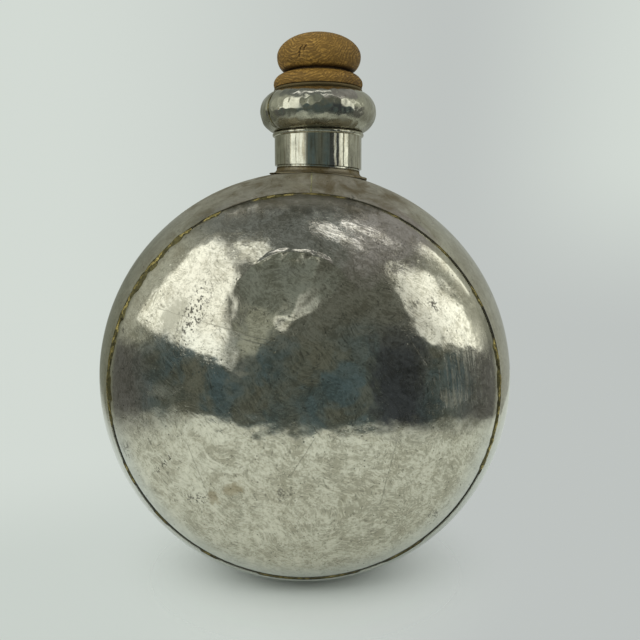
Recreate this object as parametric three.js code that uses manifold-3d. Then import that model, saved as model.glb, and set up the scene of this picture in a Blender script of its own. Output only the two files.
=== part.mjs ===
// Round flask of brazed sheet metal with a turned wooden stopper.
// Two domes are tucked under the edges of a crowned rim band and brazed along both seams. The band is a strip
// bent into a hoop, and its brazed joint runs under the neck. The neck is a tube with a saddle-shaped foot,
// a sleeve, a hollow bulb and a rim, and the stopper pulls straight up out of it.
// Millimetres, +Z up. The front dome faces -Y. The origin is the centre of the small flat that the flask stands on.
import * as THREE from "three";
import { mergeVertices } from "three/addons/utils/BufferGeometryUtils.js";
import Module from "manifold-3d";

// Sheet and fits
const SHEET = 1.2; // thickness of every metal sheet
const FIT = 0.3; // clearance between pieces that seat on each other
const JOINT_GAP = 1.6; // gap between the butted ends of a hoop, filled with braze

// Body
const BODY_RADIUS = 130; // outside of the rim band at its widest
const BAND_WIDTH = 100; // seam to seam, along the depth of the flask
const BAND_CROWN = 95; // radius of the band's crowned section
const DOME_RISE = 43; // how far a dome stands out from its seam
const SEAM_LAP = 6; // length of dome edge tucked under the band
const SEAM_BEND = 20; // radius of the dome's shoulder where it leaves the band
const STANDING_FLAT = 2.6; // depth of the flat hammered into the underside of the band

// Braze
const BEAD_THIN = 1.0; // width of the seam bead where little braze shows
const BEAD_FULL = 3.2; // width of the seam bead where it was run on thickly
const BEAD_FADE = 6; // degrees over which a thick run of bead fades out
const BEAD_RUNS = [ // thick runs of the front bead, in degrees clockwise from the top as seen from the front
  [-6, 11],
  [42, 45],
  [60, 62],
  [76, 113],
  [144, 153],
  [165, 192],
  [209, 211],
  [227, 229],
  [243, 246],
  [261, 334],
];
const BAND_JOINT_OFFSET = 4.8; // the band's joint lies this far to the right of the body's centre
const BULB_JOINT_ANGLE = -56; // degrees round the neck from the front to the bulb's joint

// Neck, with heights above the crown of the band
const NECK_OFFSET = 8.2; // the neck stands this far to the right of the body's centre
const FOOT_SLANT = 2.7; // degrees that the foot of the neck runs downhill with the band
const TUBE_REACH = 7.6; // length of tube below the crown, inside the body
const FOOT_RADIUS = 30.6;
const FOOT_EDGE = -2.4; // height of the top of the foot's outer edge
const FOOT_COLLAR = 0.8; // height where the foot's flare turns upright
const SLEEVE_RADIUS = 27.2;
const SLEEVE_FOOT = 2.0; // height of the sleeve's lower edge
const SLEEVE_HEIGHT = 22; // from the sleeve's lower edge to the top of its bead
const SLEEVE_BEAD = 1.35; // radius of the half-round bead at the top of the sleeve
const BULB_RADIUS = 36.2;
const BULB_HEIGHT = 24;
const BULB_NECK_RADIUS = 27.6; // outside of the bulb at its upper and lower edges
const RIM_HEIGHT = 1.9;
const RIM_RADIUS = 27.4;

// Stopper, with heights above the underside of its disc
const PLUG_LENGTH = 28;
const PLUG_TAPER = 2.4; // how much narrower the plug is at its lower end
const PLUG_CHAMFER = 1.5;
const DISC_RADIUS = 27.6;
const DISC_HEIGHT = 8.8;
const DISC_EDGE = 2.2; // height of the disc's widest line
const DISC_UNDERCUT = 0.5; // how far the disc's lower edge is drawn in
const GROOVE_RADIUS = 19;
const GROOVE_HEIGHT = 1; // upright wall between disc and knob
const KNOB_RADIUS = 25.9;
const KNOB_HEIGHT = 23.4;
const KNOB_WAIST = 10.8; // from the knob's underside to its widest line

// Facets
const BODY_STEPS = 64; // round the body
const NECK_STEPS = 36; // round the neck and the stopper
const BAND_STEPS = 10; // along the band's section
const CAP_STEPS = 5; // along a dome's section
const BULB_STEPS = 8; // along the bulb's section
const CURVE_STEPS = 5; // along a small curve
const BEND_STEPS = 3; // along a dome's shoulder

// Places worked out from the sizes above
const BODY_CENTRE = BODY_RADIUS - STANDING_FLAT; // height of the body's axis
const CROWN = BODY_CENTRE + BODY_RADIUS; // height of the top of the band
const SEAM_ANGLE = Math.asin(BAND_WIDTH / 2 / BAND_CROWN); // along the band's section, from its crown to a seam
const BAND_SECTION_X = BODY_RADIUS - BAND_CROWN; // centre of the band's section, from the body's axis
const TUBE_RADIUS = SLEEVE_RADIUS - SHEET - FIT;
const BORE_RADIUS = TUBE_RADIUS - SHEET;
const BULB_FOOT = SLEEVE_FOOT + SLEEVE_HEIGHT + FIT;
const BULB_TOP = BULB_FOOT + BULB_HEIGHT;
const RIM_TOP = BULB_TOP + FIT + RIM_HEIGHT;
const STOPPER_SEAT = RIM_TOP + FIT;

// Finishes
const bodyMetal = { color: 0x9b988c, roughness: 0.32, metalness: 1 };
const neckMetal = { color: 0xa3a098, roughness: 0.22, metalness: 1 };
const brass = { color: 0x8a7335, roughness: 0.5, metalness: 1 };
const wood = { color: 0x8c6a38, roughness: 0.65, metalness: 0 };

const wasm = await Module();
wasm.setup();

// A closed geometry as a solid that can be joined and cut.
function solid(geometry) {
  const bare = geometry.clone();
  bare.deleteAttribute("normal");
  bare.deleteAttribute("uv");
  const merged = mergeVertices(bare, 1e-3);
  const triVerts = new Uint32Array(merged.index.array);
  return new wasm.Manifold(new wasm.Mesh({ numProp: 3, vertProperties: merged.attributes.position.array, triVerts }));
}

// The geometry of a solid.
function geometryOf(cut) {
  const mesh = cut.getMesh();
  const geometry = new THREE.BufferGeometry();
  geometry.setAttribute("position", new THREE.BufferAttribute(mesh.vertProperties, 3));
  geometry.setIndex(new THREE.BufferAttribute(mesh.triVerts, 1));
  geometry.computeVertexNormals();
  return geometry;
}

function cut(geometry, ...cutters) {
  return geometryOf(cutters.reduce((left, cutter) => left.subtract(solid(cutter)), solid(geometry)));
}

// Points on an arc, or on part of an ellipse where radiusY is given. Angles are in radians.
function arc(centreX, centreY, radiusX, from, to, steps, radiusY = radiusX) {
  return Array.from({ length: steps + 1 }, (_, i) => {
    const angle = from + ((to - from) * i) / steps;
    return new THREE.Vector2(centreX + radiusX * Math.cos(angle), centreY + radiusY * Math.sin(angle));
  });
}

const point = (x, y) => new THREE.Vector2(x, y);

// A ring turned about the neck's axis from a closed outline of radius and height, with the crown at height 0.
function neckRing(outline) {
  return new THREE.LatheGeometry([...outline, outline[0]], NECK_STEPS).rotateX(Math.PI / 2);
}

// Runs the lower part of a neck piece downhill to the right: in full up to `low`, and not at all from `high` up.
function slantFoot(geometry, low, high = Infinity) {
  const position = geometry.attributes.position;
  const slope = Math.tan(THREE.MathUtils.degToRad(FOOT_SLANT));
  for (let i = 0; i < position.count; i++) {
    const share = 1 - THREE.MathUtils.clamp((position.getZ(i) - low) / (high - low), 0, 1);
    position.setZ(i, position.getZ(i) - share * slope * position.getX(i));
  }
  return geometry;
}

// Rim band: a crowned hoop with its joint and the hole for the neck at the top, and a flat hammered underneath

// Outline of the band between two section angles, as radius from the body's axis and depth.
function bandOutline(from, to, steps) {
  const outside = arc(BAND_SECTION_X, 0, BAND_CROWN, from, to, steps);
  const inside = arc(BAND_SECTION_X, 0, BAND_CROWN - SHEET, to, from, steps);
  return [...outside, ...inside];
}

// Presses the underside of the hoop flat: the outside down to the standing plane and the inside one sheet above it.
function pressFlat(geometry) {
  const position = geometry.attributes.position;
  for (let i = 0; i < position.count; i++) {
    const [x, y, z] = [position.getX(i), position.getY(i), position.getZ(i)];
    const fromSection = Math.hypot(Math.hypot(x, z - BODY_CENTRE) - BAND_SECTION_X, y);
    const floor = fromSection > BAND_CROWN - SHEET / 2 ? 0 : SHEET;
    position.setZ(i, Math.max(z, floor));
  }
  return geometry;
}

const bandJointAngle = Math.asin(BAND_JOINT_OFFSET / BODY_RADIUS);

function rimBand() {
  const outline = bandOutline(-SEAM_ANGLE, SEAM_ANGLE, BAND_STEPS);
  const hoop = new THREE.LatheGeometry([...outline, outline[0]], BODY_STEPS).translate(0, 0, BODY_CENTRE);
  const neckHole = new THREE.CylinderGeometry(TUBE_RADIUS + FIT, TUBE_RADIUS + FIT, BODY_RADIUS, NECK_STEPS)
    .rotateX(Math.PI / 2)
    .translate(NECK_OFFSET, 0, CROWN);
  const joint = new THREE.BoxGeometry(JOINT_GAP, 2 * BAND_WIDTH, BODY_RADIUS)
    .translate(0, 0, BODY_RADIUS)
    .rotateY(bandJointAngle)
    .translate(0, 0, BODY_CENTRE);
  return cut(pressFlat(hoop), neckHole, joint);
}

// A strip of braze that fills a hoop's joint, from a section outline drawn across the joint.
function jointStrip(outline) {
  const depth = JOINT_GAP - 2 * FIT;
  return new THREE.ExtrudeGeometry(new THREE.Shape(outline), { depth, bevelEnabled: false }).translate(0, 0, -depth / 2);
}

// The band's joint braze on one side of the neck hole: side -1 is the front, 1 the rear.
function bandJointBraze(side) {
  const holeHalfWidth = Math.sqrt((TUBE_RADIUS + FIT) ** 2 - (NECK_OFFSET - BAND_JOINT_OFFSET) ** 2) + FIT;
  const holeAngle = Math.asin(holeHalfWidth / BAND_CROWN);
  const outline = bandOutline(holeAngle, SEAM_ANGLE, CURVE_STEPS);
  const acrossTop = new THREE.Matrix4().makeBasis(
    new THREE.Vector3(0, 0, 1),
    new THREE.Vector3(0, side, 0),
    new THREE.Vector3(-side, 0, 0),
  );
  return jointStrip(outline).applyMatrix4(acrossTop).rotateY(bandJointAngle);
}

// Dome: an edge tucked under the band, a rounded shoulder, and a spherical cap

// Centre of the dome's shoulder and the cap that runs on from it, as radius from the body's axis and depth.
function domeSection() {
  const lapRadius = BAND_CROWN - SHEET - FIT;
  const bendX = BAND_SECTION_X + (lapRadius - SEAM_BEND) * Math.cos(SEAM_ANGLE);
  const bendY = -(lapRadius - SEAM_BEND) * Math.sin(SEAM_ANGLE);
  const apex = BAND_WIDTH / 2 + DOME_RISE;
  const capAngle = 2 * Math.atan((apex + bendY - SEAM_BEND) / bendX); // from the cap's apex to its edge
  const capRadius = SEAM_BEND + bendX / Math.sin(capAngle);
  return { lapRadius, bendX, bendY, capAngle, capRadius, capY: capRadius - apex };
}

// One face of the dome's sheet, from the axis to the tucked edge. `inset` is how far it lies inside the outer face.
function domeFace(inset) {
  const { lapRadius, bendX, bendY, capAngle, capRadius, capY } = domeSection();
  const down = -Math.PI / 2;
  const tuckedEdge = SEAM_ANGLE - SEAM_LAP / BAND_CROWN;
  return [
    ...arc(0, capY, capRadius - inset, down, down + capAngle, CAP_STEPS).slice(0, -1),
    ...arc(bendX, bendY, SEAM_BEND - inset, down + capAngle, -SEAM_ANGLE, BEND_STEPS).slice(0, -1),
    ...arc(BAND_SECTION_X, 0, lapRadius - inset, -SEAM_ANGLE, -tuckedEdge, 1),
  ];
}

function dome() {
  const profile = [...domeFace(0), ...domeFace(SHEET).reverse()];
  profile[0].x = 0;
  profile[profile.length - 1].x = 0;
  return new THREE.LatheGeometry(profile, BODY_STEPS);
}

// Seam bead: braze run into the step between the band's edge and the dome's shoulder, thick in places

// How full the bead is at an angle clockwise from the top, from 0 to 1.
function beadFullness(degrees) {
  const away = ([from, to]) => {
    const middle = (from + to) / 2;
    const turn = Math.abs(THREE.MathUtils.euclideanModulo(degrees - middle + 180, 360) - 180);
    return Math.max(0, turn - (to - from) / 2);
  };
  const nearest = Math.min(...BEAD_RUNS.map(away));
  return 1 - THREE.MathUtils.smoothstep(nearest, 0, BEAD_FADE);
}

// Section of the bead, lying on the dome's shoulder beside the band's edge.
function beadSection(degrees) {
  const { bendX, bendY } = domeSection();
  const fullness = beadFullness(degrees);
  const base = SEAM_BEND + FIT;
  const start = SEAM_ANGLE + FIT / base;
  const span = THREE.MathUtils.lerp(BEAD_THIN, BEAD_FULL, fullness) / base;
  const height = SHEET * THREE.MathUtils.lerp(0.4, 1.2, fullness);
  const crownPoints = [[0, 0], [1, 0], [0.8, 0.55], [0.45, 1], [0, 0.85]]; // shares of its width and height
  return crownPoints.map(([along, up]) => {
    const angle = start + span * along;
    const radius = base + height * up;
    return point(bendX + radius * Math.cos(angle), bendY - radius * Math.sin(angle));
  });
}

// A closed ring about the body's axis whose section changes with the angle.
function sweptRing(sectionAt, steps) {
  const positions = [];
  const triangles = [];
  const sides = sectionAt(0).length;
  for (let i = 0; i < steps; i++) {
    const angle = (2 * Math.PI * i) / steps;
    for (const p of sectionAt(THREE.MathUtils.radToDeg(angle))) {
      positions.push(p.x * Math.sin(angle), p.y, p.x * Math.cos(angle));
    }
    for (let j = 0; j < sides; j++) {
      const [here, next] = [i * sides, ((i + 1) % steps) * sides];
      const k = (j + 1) % sides;
      triangles.push(here + j, next + j, here + k, next + k, here + k, next + j);
    }
  }
  const geometry = new THREE.BufferGeometry();
  geometry.setAttribute("position", new THREE.Float32BufferAttribute(positions, 3));
  geometry.setIndex(triangles);
  geometry.computeVertexNormals();
  return geometry;
}

function seamBead() {
  return sweptRing(beadSection, BODY_STEPS);
}

// Neck: tube, saddle-shaped foot, sleeve, bulb and rim

function neckTube() {
  return neckRing([
    point(BORE_RADIUS, -TUBE_REACH),
    point(TUBE_RADIUS, -TUBE_REACH),
    point(TUBE_RADIUS, BULB_TOP),
    point(BORE_RADIUS, BULB_TOP),
  ]);
}

// The foot flares out on the band and is cut underneath to the band's own crowned surface.
function neckFoot() {
  const bore = TUBE_RADIUS + FIT;
  const collar = SLEEVE_RADIUS - SHEET / 2;
  const top = SLEEVE_FOOT - FIT;
  const buried = -FOOT_RADIUS / 2; // well below the band's surface all round
  const flare = new THREE.QuadraticBezierCurve(
    point(FOOT_RADIUS, FOOT_EDGE),
    point(collar, FOOT_EDGE + SHEET / 2),
    point(collar, FOOT_COLLAR),
  );
  const outline = [
    point(bore, buried),
    point(FOOT_RADIUS, buried),
    ...flare.getPoints(CURVE_STEPS),
    point(collar, top),
    point(bore, top),
  ];
  const bandSurface = arc(BAND_SECTION_X, 0, BAND_CROWN + FIT, -SEAM_ANGLE, SEAM_ANGLE, BAND_STEPS);
  const depth = bandSurface[BAND_STEPS].y;
  const body = new THREE.LatheGeometry([point(0, -depth), ...bandSurface, point(0, depth)], BODY_STEPS)
    .translate(-NECK_OFFSET, 0, BODY_CENTRE - CROWN);
  return cut(slantFoot(neckRing(outline), top), body);
}

function neckSleeve() {
  const bore = TUBE_RADIUS + FIT;
  const top = SLEEVE_FOOT + SLEEVE_HEIGHT;
  const bead = arc(SLEEVE_RADIUS, top - SLEEVE_BEAD, SLEEVE_BEAD, -Math.PI / 2, Math.PI / 2, CURVE_STEPS);
  const outline = [point(bore, SLEEVE_FOOT), point(SLEEVE_RADIUS, SLEEVE_FOOT), ...bead, point(bore, top)];
  return slantFoot(neckRing(outline), SLEEVE_FOOT, top - 2 * SLEEVE_BEAD);
}

// Outline of the bulb's sheet: a bulge whose upper and lower edges are turned in against the tube.
function bulbOutline() {
  const bore = TUBE_RADIUS + FIT;
  const half = BULB_HEIGHT / 2;
  const bulge = BULB_RADIUS - BULB_NECK_RADIUS;
  const radius = (half ** 2 + bulge ** 2) / (2 * bulge);
  const centre = BULB_RADIUS - radius;
  const middle = BULB_FOOT + half;
  const reach = Math.asin(half / radius);
  const innerReach = Math.asin((half - SHEET) / (radius - SHEET));
  return [
    point(bore, BULB_FOOT),
    ...arc(centre, middle, radius, -reach, reach, BULB_STEPS),
    point(bore, BULB_TOP),
    point(bore, BULB_TOP - SHEET),
    ...arc(centre, middle, radius - SHEET, innerReach, -innerReach, BULB_STEPS),
    point(bore, BULB_FOOT + SHEET),
  ];
}

const bulbJointAngle = THREE.MathUtils.degToRad(BULB_JOINT_ANGLE);

function mouthBulb() {
  const joint = new THREE.BoxGeometry(JOINT_GAP, BULB_RADIUS, 2 * BULB_HEIGHT)
    .translate(0, -BULB_RADIUS / 2 - BORE_RADIUS, BULB_FOOT + BULB_HEIGHT / 2)
    .rotateZ(bulbJointAngle);
  return cut(neckRing(bulbOutline()), joint);
}

function bulbJointBraze() {
  const outFromAxis = new THREE.Matrix4().makeBasis(
    new THREE.Vector3(0, -1, 0),
    new THREE.Vector3(0, 0, 1),
    new THREE.Vector3(-1, 0, 0),
  );
  return jointStrip(bulbOutline()).applyMatrix4(outFromAxis).rotateZ(bulbJointAngle);
}

function mouthRim() {
  const roll = RIM_HEIGHT / 2;
  const foot = BULB_TOP + FIT;
  const edge = arc(RIM_RADIUS - roll, foot + roll, roll, -Math.PI / 2, Math.PI / 2, CURVE_STEPS);
  return neckRing([point(BORE_RADIUS, foot), ...edge, point(BORE_RADIUS, RIM_TOP)]);
}

// Stopper: plug, disc, groove and knob turned from one piece of wood
function stopper() {
  const quarter = Math.PI / 2;
  const plugTop = BORE_RADIUS - FIT;
  const plugEnd = plugTop - PLUG_TAPER;
  const discShoulder = DISC_RADIUS - GROOVE_RADIUS;
  const knobFoot = DISC_HEIGHT + GROOVE_HEIGHT;
  const knobTurn = KNOB_RADIUS - GROOVE_RADIUS;
  const knobMiddle = knobFoot + KNOB_WAIST;
  const crown = KNOB_HEIGHT - KNOB_WAIST;
  const profile = [
    point(0, -PLUG_LENGTH),
    point(plugEnd - PLUG_CHAMFER, -PLUG_LENGTH),
    point(plugEnd, -PLUG_LENGTH + PLUG_CHAMFER),
    point(plugTop, 0),
    point(DISC_RADIUS - DISC_UNDERCUT, 0),
    ...arc(GROOVE_RADIUS, DISC_EDGE, discShoulder, 0, quarter, CURVE_STEPS, DISC_HEIGHT - DISC_EDGE),
    ...arc(GROOVE_RADIUS, knobMiddle, knobTurn, -quarter, 0, CURVE_STEPS, KNOB_WAIST),
    ...arc(0, knobMiddle, KNOB_RADIUS, 0, quarter, CURVE_STEPS, crown).slice(1),
  ];
  profile[profile.length - 1].x = 0;
  return new THREE.LatheGeometry(profile, NECK_STEPS).rotateX(Math.PI / 2);
}

// Assembly
function piece(name, geometry, finish) {
  const mesh = new THREE.Mesh(geometry, new THREE.MeshStandardMaterial(finish));
  mesh.name = name;
  return mesh;
}

function body() {
  const group = new THREE.Group();
  group.add(piece("rim_band", rimBand().translate(0, 0, -BODY_CENTRE), bodyMetal));
  group.add(piece("band_joint_braze_front", bandJointBraze(-1), brass));
  group.add(piece("band_joint_braze_rear", bandJointBraze(1), brass));
  const front = new THREE.Group();
  front.add(piece("front_dome", dome(), bodyMetal), piece("front_seam_braze", seamBead(), brass));
  const rear = new THREE.Group();
  rear.add(piece("rear_dome", dome(), bodyMetal), piece("rear_seam_braze", seamBead(), brass));
  rear.rotation.z = Math.PI;
  group.add(front, rear);
  group.position.z = BODY_CENTRE;
  return group;
}

function neck() {
  const group = new THREE.Group();
  group.add(piece("neck_tube", neckTube(), neckMetal));
  group.add(piece("neck_foot", neckFoot(), bodyMetal));
  group.add(piece("neck_sleeve", neckSleeve(), neckMetal));
  group.add(piece("mouth_bulb", mouthBulb(), neckMetal));
  group.add(piece("bulb_joint_braze", bulbJointBraze(), brass));
  group.add(piece("mouth_rim", mouthRim(), neckMetal));
  const stopperPiece = piece("stopper", stopper(), wood);
  stopperPiece.position.z = STOPPER_SEAT;
  group.add(stopperPiece);
  group.position.set(NECK_OFFSET, 0, CROWN);
  return group;
}

const flask = new THREE.Group();
flask.add(body(), neck());

export default flask;
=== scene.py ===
"""Round flask of brazed sheet metal with a turned wooden stopper.

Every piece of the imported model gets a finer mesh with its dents, hammer marks and wear,
and a finish of its own. Lengths are in metres, +Z is up, and the front dome faces -Y.
"""
import math
from collections import namedtuple

import bmesh
import bpy
import numpy as np
from bpy.props import FloatProperty, FloatVectorProperty, PointerProperty
from mathutils import Matrix, Vector


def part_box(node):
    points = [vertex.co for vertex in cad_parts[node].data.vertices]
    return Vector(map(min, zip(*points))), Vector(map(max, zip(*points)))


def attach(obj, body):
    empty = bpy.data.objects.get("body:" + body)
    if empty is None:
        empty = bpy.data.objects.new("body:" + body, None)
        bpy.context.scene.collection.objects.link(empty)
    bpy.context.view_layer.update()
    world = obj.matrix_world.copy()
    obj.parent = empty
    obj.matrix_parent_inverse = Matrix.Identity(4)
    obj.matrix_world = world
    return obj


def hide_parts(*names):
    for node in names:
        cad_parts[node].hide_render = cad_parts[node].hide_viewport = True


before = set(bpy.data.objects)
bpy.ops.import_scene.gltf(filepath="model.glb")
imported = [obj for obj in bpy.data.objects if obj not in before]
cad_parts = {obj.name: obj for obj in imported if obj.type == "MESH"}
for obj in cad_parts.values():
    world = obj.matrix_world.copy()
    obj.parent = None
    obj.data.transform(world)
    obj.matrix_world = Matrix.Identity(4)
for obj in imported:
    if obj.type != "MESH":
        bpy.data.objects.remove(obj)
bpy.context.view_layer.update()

bl_info = {
    "name": "Round metal flask",
    "version": (1, 0, 0),
    "blender": (4, 5, 0),
    "location": "3D View > Sidebar > Flask",
    "description": "Builds a brazed sheet-metal flask with a turned wooden stopper",
    "category": "Add Mesh",
}

MM = 0.001
FIT = 0.3 * MM  # clearance between pieces that seat on each other


def mm(*lengths):
    """Lengths given in millimetres."""
    return tuple(value * MM for value in lengths)


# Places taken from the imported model

def half_width(node, axis):
    low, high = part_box(node)
    return (high[axis] - low[axis]) / 2


def middle(node, axis):
    low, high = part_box(node)
    return (high[axis] + low[axis]) / 2


BODY_RADIUS = half_width("rim_band", 0)
BODY_HEIGHT = middle("front_dome", 2)  # of the body's axis above the floor
BAND_HALF = half_width("rim_band", 1)  # from the middle of the band to a seam
DOME_DEPTH = -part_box("front_dome")[0].y  # from the middle of the band to a dome's apex
CROWN = BODY_HEIGHT + BODY_RADIUS  # top of the band
NECK_X = middle("neck_tube", 0)
TUBE_RADIUS = half_width("neck_tube", 0)


# Settings

def length(name, description, default):
    return FloatProperty(name=name, description=description, default=default, unit="LENGTH", precision=4)


def colour(name, description, default):
    return FloatVectorProperty(
        name=name, description=description, default=default, subtype="COLOR", min=0, max=1
    )


class FlaskSizes(bpy.types.PropertyGroup):
    """Sizes of the sheet metal, its wear and the stopper"""

    sheet: length("Sheet", "Thickness of every metal sheet", 1.2 * MM)
    crown: length("Band crown", "Radius of the rim band's crowned section", 95 * MM)
    shoulder: length("Dome shoulder", "Radius of a dome's rounded shoulder", 20 * MM)
    lap: length("Seam lap", "Length of dome edge tucked under the band", 6 * MM)
    joint_gap: length("Hoop joint", "Gap between the butted ends of the band", 0.5 * MM)
    joint_offset: length("Joint offset", "From the body's centre to the band's joint", 4.8 * MM)
    bead_thin: length("Thin bead", "Width of the seam bead where little braze shows", 0.4 * MM)
    bead_full: length("Full bead", "Width of the seam bead where it was run on thickly", 4.0 * MM)
    wave: length("Waves", "Height of the broad waves in the body's sheet", 0.2 * MM)
    dent: length("Dent", "Depth of the struck hollow in the front dome", 0.5 * MM)
    dent_lip: length("Dent lip", "Height of the sharp lip over the struck hollow", 0.92 * MM)
    hammer: length("Hammer marks", "Depth of the hammer marks on the bulb", 0.4 * MM)
    crack: length("Crack", "Depth of the drying crack in the knob", 0.7 * MM)


class FlaskColours(bpy.types.PropertyGroup):
    """Colours of the metal, the braze and the wood"""

    metal: colour("Metal", "Rubbed body metal", (0.75, 0.715, 0.60))
    metal_dull: colour("Dull metal", "Clouded body metal", (0.42, 0.40, 0.32))
    metal_dark: colour("Dark metal", "Scratches and dirty grain of the body metal", (0.155, 0.145, 0.11))
    # Painted reflection: lighter, cooler metal along the lower seam stands in for the floor mirrored there
    lower_seam_reflection: colour("Rim film", "Cool film along the lower seam", (0.60, 0.62, 0.60))
    tarnish: colour("Tarnish", "Brown film near the seams", (0.27, 0.21, 0.11))
    pit: colour("Pits", "Dirt in pits and scratches", (0.06, 0.055, 0.045))
    # Besides film, this colour paints the shade low on the bulb
    neck_grime_and_shade: colour("Neck grime", "Film in the hollows of the neck", (0.105, 0.097, 0.062))
    neck: colour("Neck metal", "Brighter metal of the neck", (0.69, 0.665, 0.535))
    braze: colour("Braze", "Olive braze of the seams", (0.165, 0.145, 0.06))
    # Also paints the highlight along the bead's crest
    braze_rubbed_highlight: colour("Bright braze", "Rubbed high spots of the braze", (0.46, 0.37, 0.13))
    oxide: colour("Oxide", "Dark oxide in the open seam", (0.04, 0.036, 0.022))
    solder: colour("Solder", "Pale solder of the hoop's joint", (0.74, 0.7, 0.42))
    wood: colour("Wood", "Main colour of the stopper", (0.145, 0.080, 0.014))
    wood_light: colour("Light wood", "Early growth and worn edges", (0.38, 0.222, 0.045))
    # Also paints the shade in the stopper's groove and on its right side
    wood_dark: colour("Dark wood", "Late growth, pores and grime", (0.028, 0.013, 0.003))


class StudioSettings(bpy.types.PropertyGroup):
    """Camera, lamps and backdrop"""

    lens: FloatProperty(name="Lens", description="Focal length", default=42.1, unit="CAMERA")
    tilt: FloatProperty(
        name="Tilt", description="Camera's angle below the horizon",
        default=math.radians(6.95), subtype="ANGLE",
    )
    eye: FloatVectorProperty(
        name="Eye", description="Place of the camera", default=mm(9.4, -478.9, 222.2),
        subtype="TRANSLATION", unit="LENGTH",
    )
    floor: colour("Floor", "Pale table top", (0.70, 0.74, 0.70))
    wall_left: colour("Wall, left", "Backdrop on the left", (0.65, 0.70, 0.655))
    wall_right: colour("Wall, right", "Backdrop on the right", (0.515, 0.545, 0.53))


# Random waves

class Ripple:
    """Smooth random waves in space, from about -1 to 1, the same on every run."""

    SLOPES = 256  # drawn at random and shared out over the corners of a grid
    STEEPNESS = 1.6  # of each slope, which takes the waves to about 1

    def __init__(self, seed):
        draw = np.random.default_rng(seed)
        slopes = draw.normal(size=(self.SLOPES, 3))
        self.slopes = self.STEEPNESS * slopes / np.linalg.norm(slopes, axis=1, keepdims=True)
        self.order = draw.permutation(self.SLOPES)

    def __call__(self, points, size, octaves=1):
        return sum(self._waves(points * 2**octave / size) / 2**octave for octave in range(octaves))

    def _waves(self, points):
        cell = np.floor(points).astype(int)
        inside = points - cell
        fade = inside**3 * (inside * (inside * 6 - 15) + 10)
        total = np.zeros(points.shape[:-1])
        for corner in np.ndindex(2, 2, 2):
            pick = 0
            for axis in range(3):
                pick = self.order[(pick + cell[..., axis] + corner[axis]) % self.SLOPES]
            weight = np.prod(np.where(corner, fade, 1 - fade), axis=-1)
            total += weight * np.sum(self.slopes[pick] * (inside - corner), axis=-1)
        return total


def smooth(value, low, high):
    """0 below low, 1 above high and an S-curve between them."""
    share = np.clip((value - low) / (high - low), 0, 1)
    return share * share * (3 - 2 * share)


# Meshes

SHARP_EDGE = math.radians(40)  # between faces, beyond which an edge is shaded sharp


def arc(centre_x, centre_y, radius, start, end, steps, radius_y=None, crowding=1):
    """Points on an arc, or on an ellipse where radius_y is given.

    Below 1, crowding draws them toward the end.
    """
    angle = start + (end - start) * np.linspace(0, 1, steps + 1) ** crowding
    return np.column_stack([
        centre_x + radius * np.cos(angle),
        centre_y + (radius if radius_y is None else radius_y) * np.sin(angle),
    ])


def line(start, end, steps):
    """Evenly spaced points from start up to, but not at, end."""
    share = np.linspace(0, 1, steps, endpoint=False)[:, None]
    return np.array(start) * (1 - share) + np.array(end) * share


def grid_faces(rows, steps, wrap_rows, wrap_steps):
    """Quads over a grid of points, numbered row by row."""
    row = np.arange(rows if wrap_rows else rows - 1)[:, None]
    step = np.arange(steps if wrap_steps else steps - 1)[None, :]
    next_row, next_step = (row + 1) % rows, (step + 1) % steps
    corners = [(row, step), (row, next_step), (next_row, next_step), (next_row, step)]
    return np.stack([along * steps + up for along, up in corners], axis=-1).reshape(-1, 4).tolist()


def finish_mesh(name, points, faces):
    """A smooth-shaded mesh whose faces point out."""
    mesh = bpy.data.meshes.new(name)
    mesh.from_pydata(points.tolist(), [], faces)
    shape = bmesh.new()
    shape.from_mesh(mesh)
    bmesh.ops.recalc_face_normals(shape, faces=shape.faces)
    shape.to_mesh(mesh)
    shape.free()
    mesh.shade_smooth()
    mesh.set_sharp_from_angle(angle=SHARP_EDGE)
    return mesh


def ring_mesh(name, points, closed=True):
    """A mesh over points[section, step] of a closed section. It goes all round or ends in two flat faces."""
    rows, steps = points.shape[:2]
    faces = grid_faces(rows, steps, True, closed)
    if not closed:
        for end in (0, steps - 1):
            for row in range(rows // 2 - 1):
                pair = [row, row + 1, rows - 2 - row, rows - 1 - row]
                faces.append([corner * steps + end for corner in pair])
    return finish_mesh(name, points.reshape(-1, 3), faces)


def pole_mesh(name, points):
    """A mesh over rings of points whose first and last ring are drawn together on the axis."""
    rows, steps = points.shape[0] - 2, points.shape[1]
    faces = grid_faces(rows, steps, False, True)
    first, last = rows * steps, rows * steps + 1
    for step in range(steps):
        following = (step + 1) % steps
        faces.append([first, step, following])
        faces.append([last, (rows - 1) * steps + following, (rows - 1) * steps + step])
    poles = [points[0].mean(axis=0), points[-1].mean(axis=0)]
    return finish_mesh(name, np.vstack([points[1:-1].reshape(-1, 3), poles]), faces)


def keep_values(mesh, name, values):
    """Stores one number at each point of a mesh, for its finish."""
    attribute = mesh.attributes.new(name, "FLOAT", "POINT")
    attribute.data.foreach_set("value", np.ascontiguousarray(values, dtype=np.float32).ravel())


def on_plane(x, y):
    """Points of the plane z = 0, on which flat waves are looked up."""
    return np.stack([x, y, np.zeros_like(x)], axis=-1)


def off_angle(turn, angle):
    """How far a turn has gone past an angle, from -pi to pi."""
    return (turn - angle + math.pi) % (2 * math.pi) - math.pi


def round_body(radius, depth, turn, side=-1):
    """Points about the body's axis, turned from its top as seen from the front, -1, or the rear, 1."""
    across, up = radius * np.sin(turn), radius * np.cos(turn)
    return np.stack([-side * across, -side * depth, BODY_HEIGHT + up], axis=-1)


def cut_away(piece, cutter):
    """Takes the cutter's space out of the piece."""
    modifier = piece.modifiers.new("cut", "BOOLEAN")
    modifier.operation = "DIFFERENCE"
    modifier.solver = "EXACT"
    modifier.object = cutter
    shown = piece.evaluated_get(bpy.context.evaluated_depsgraph_get())
    whole = piece.data
    piece.data = bpy.data.meshes.new_from_object(shown)
    piece.modifiers.clear()
    bpy.data.objects.remove(cutter)
    bpy.data.meshes.remove(whole)


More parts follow.
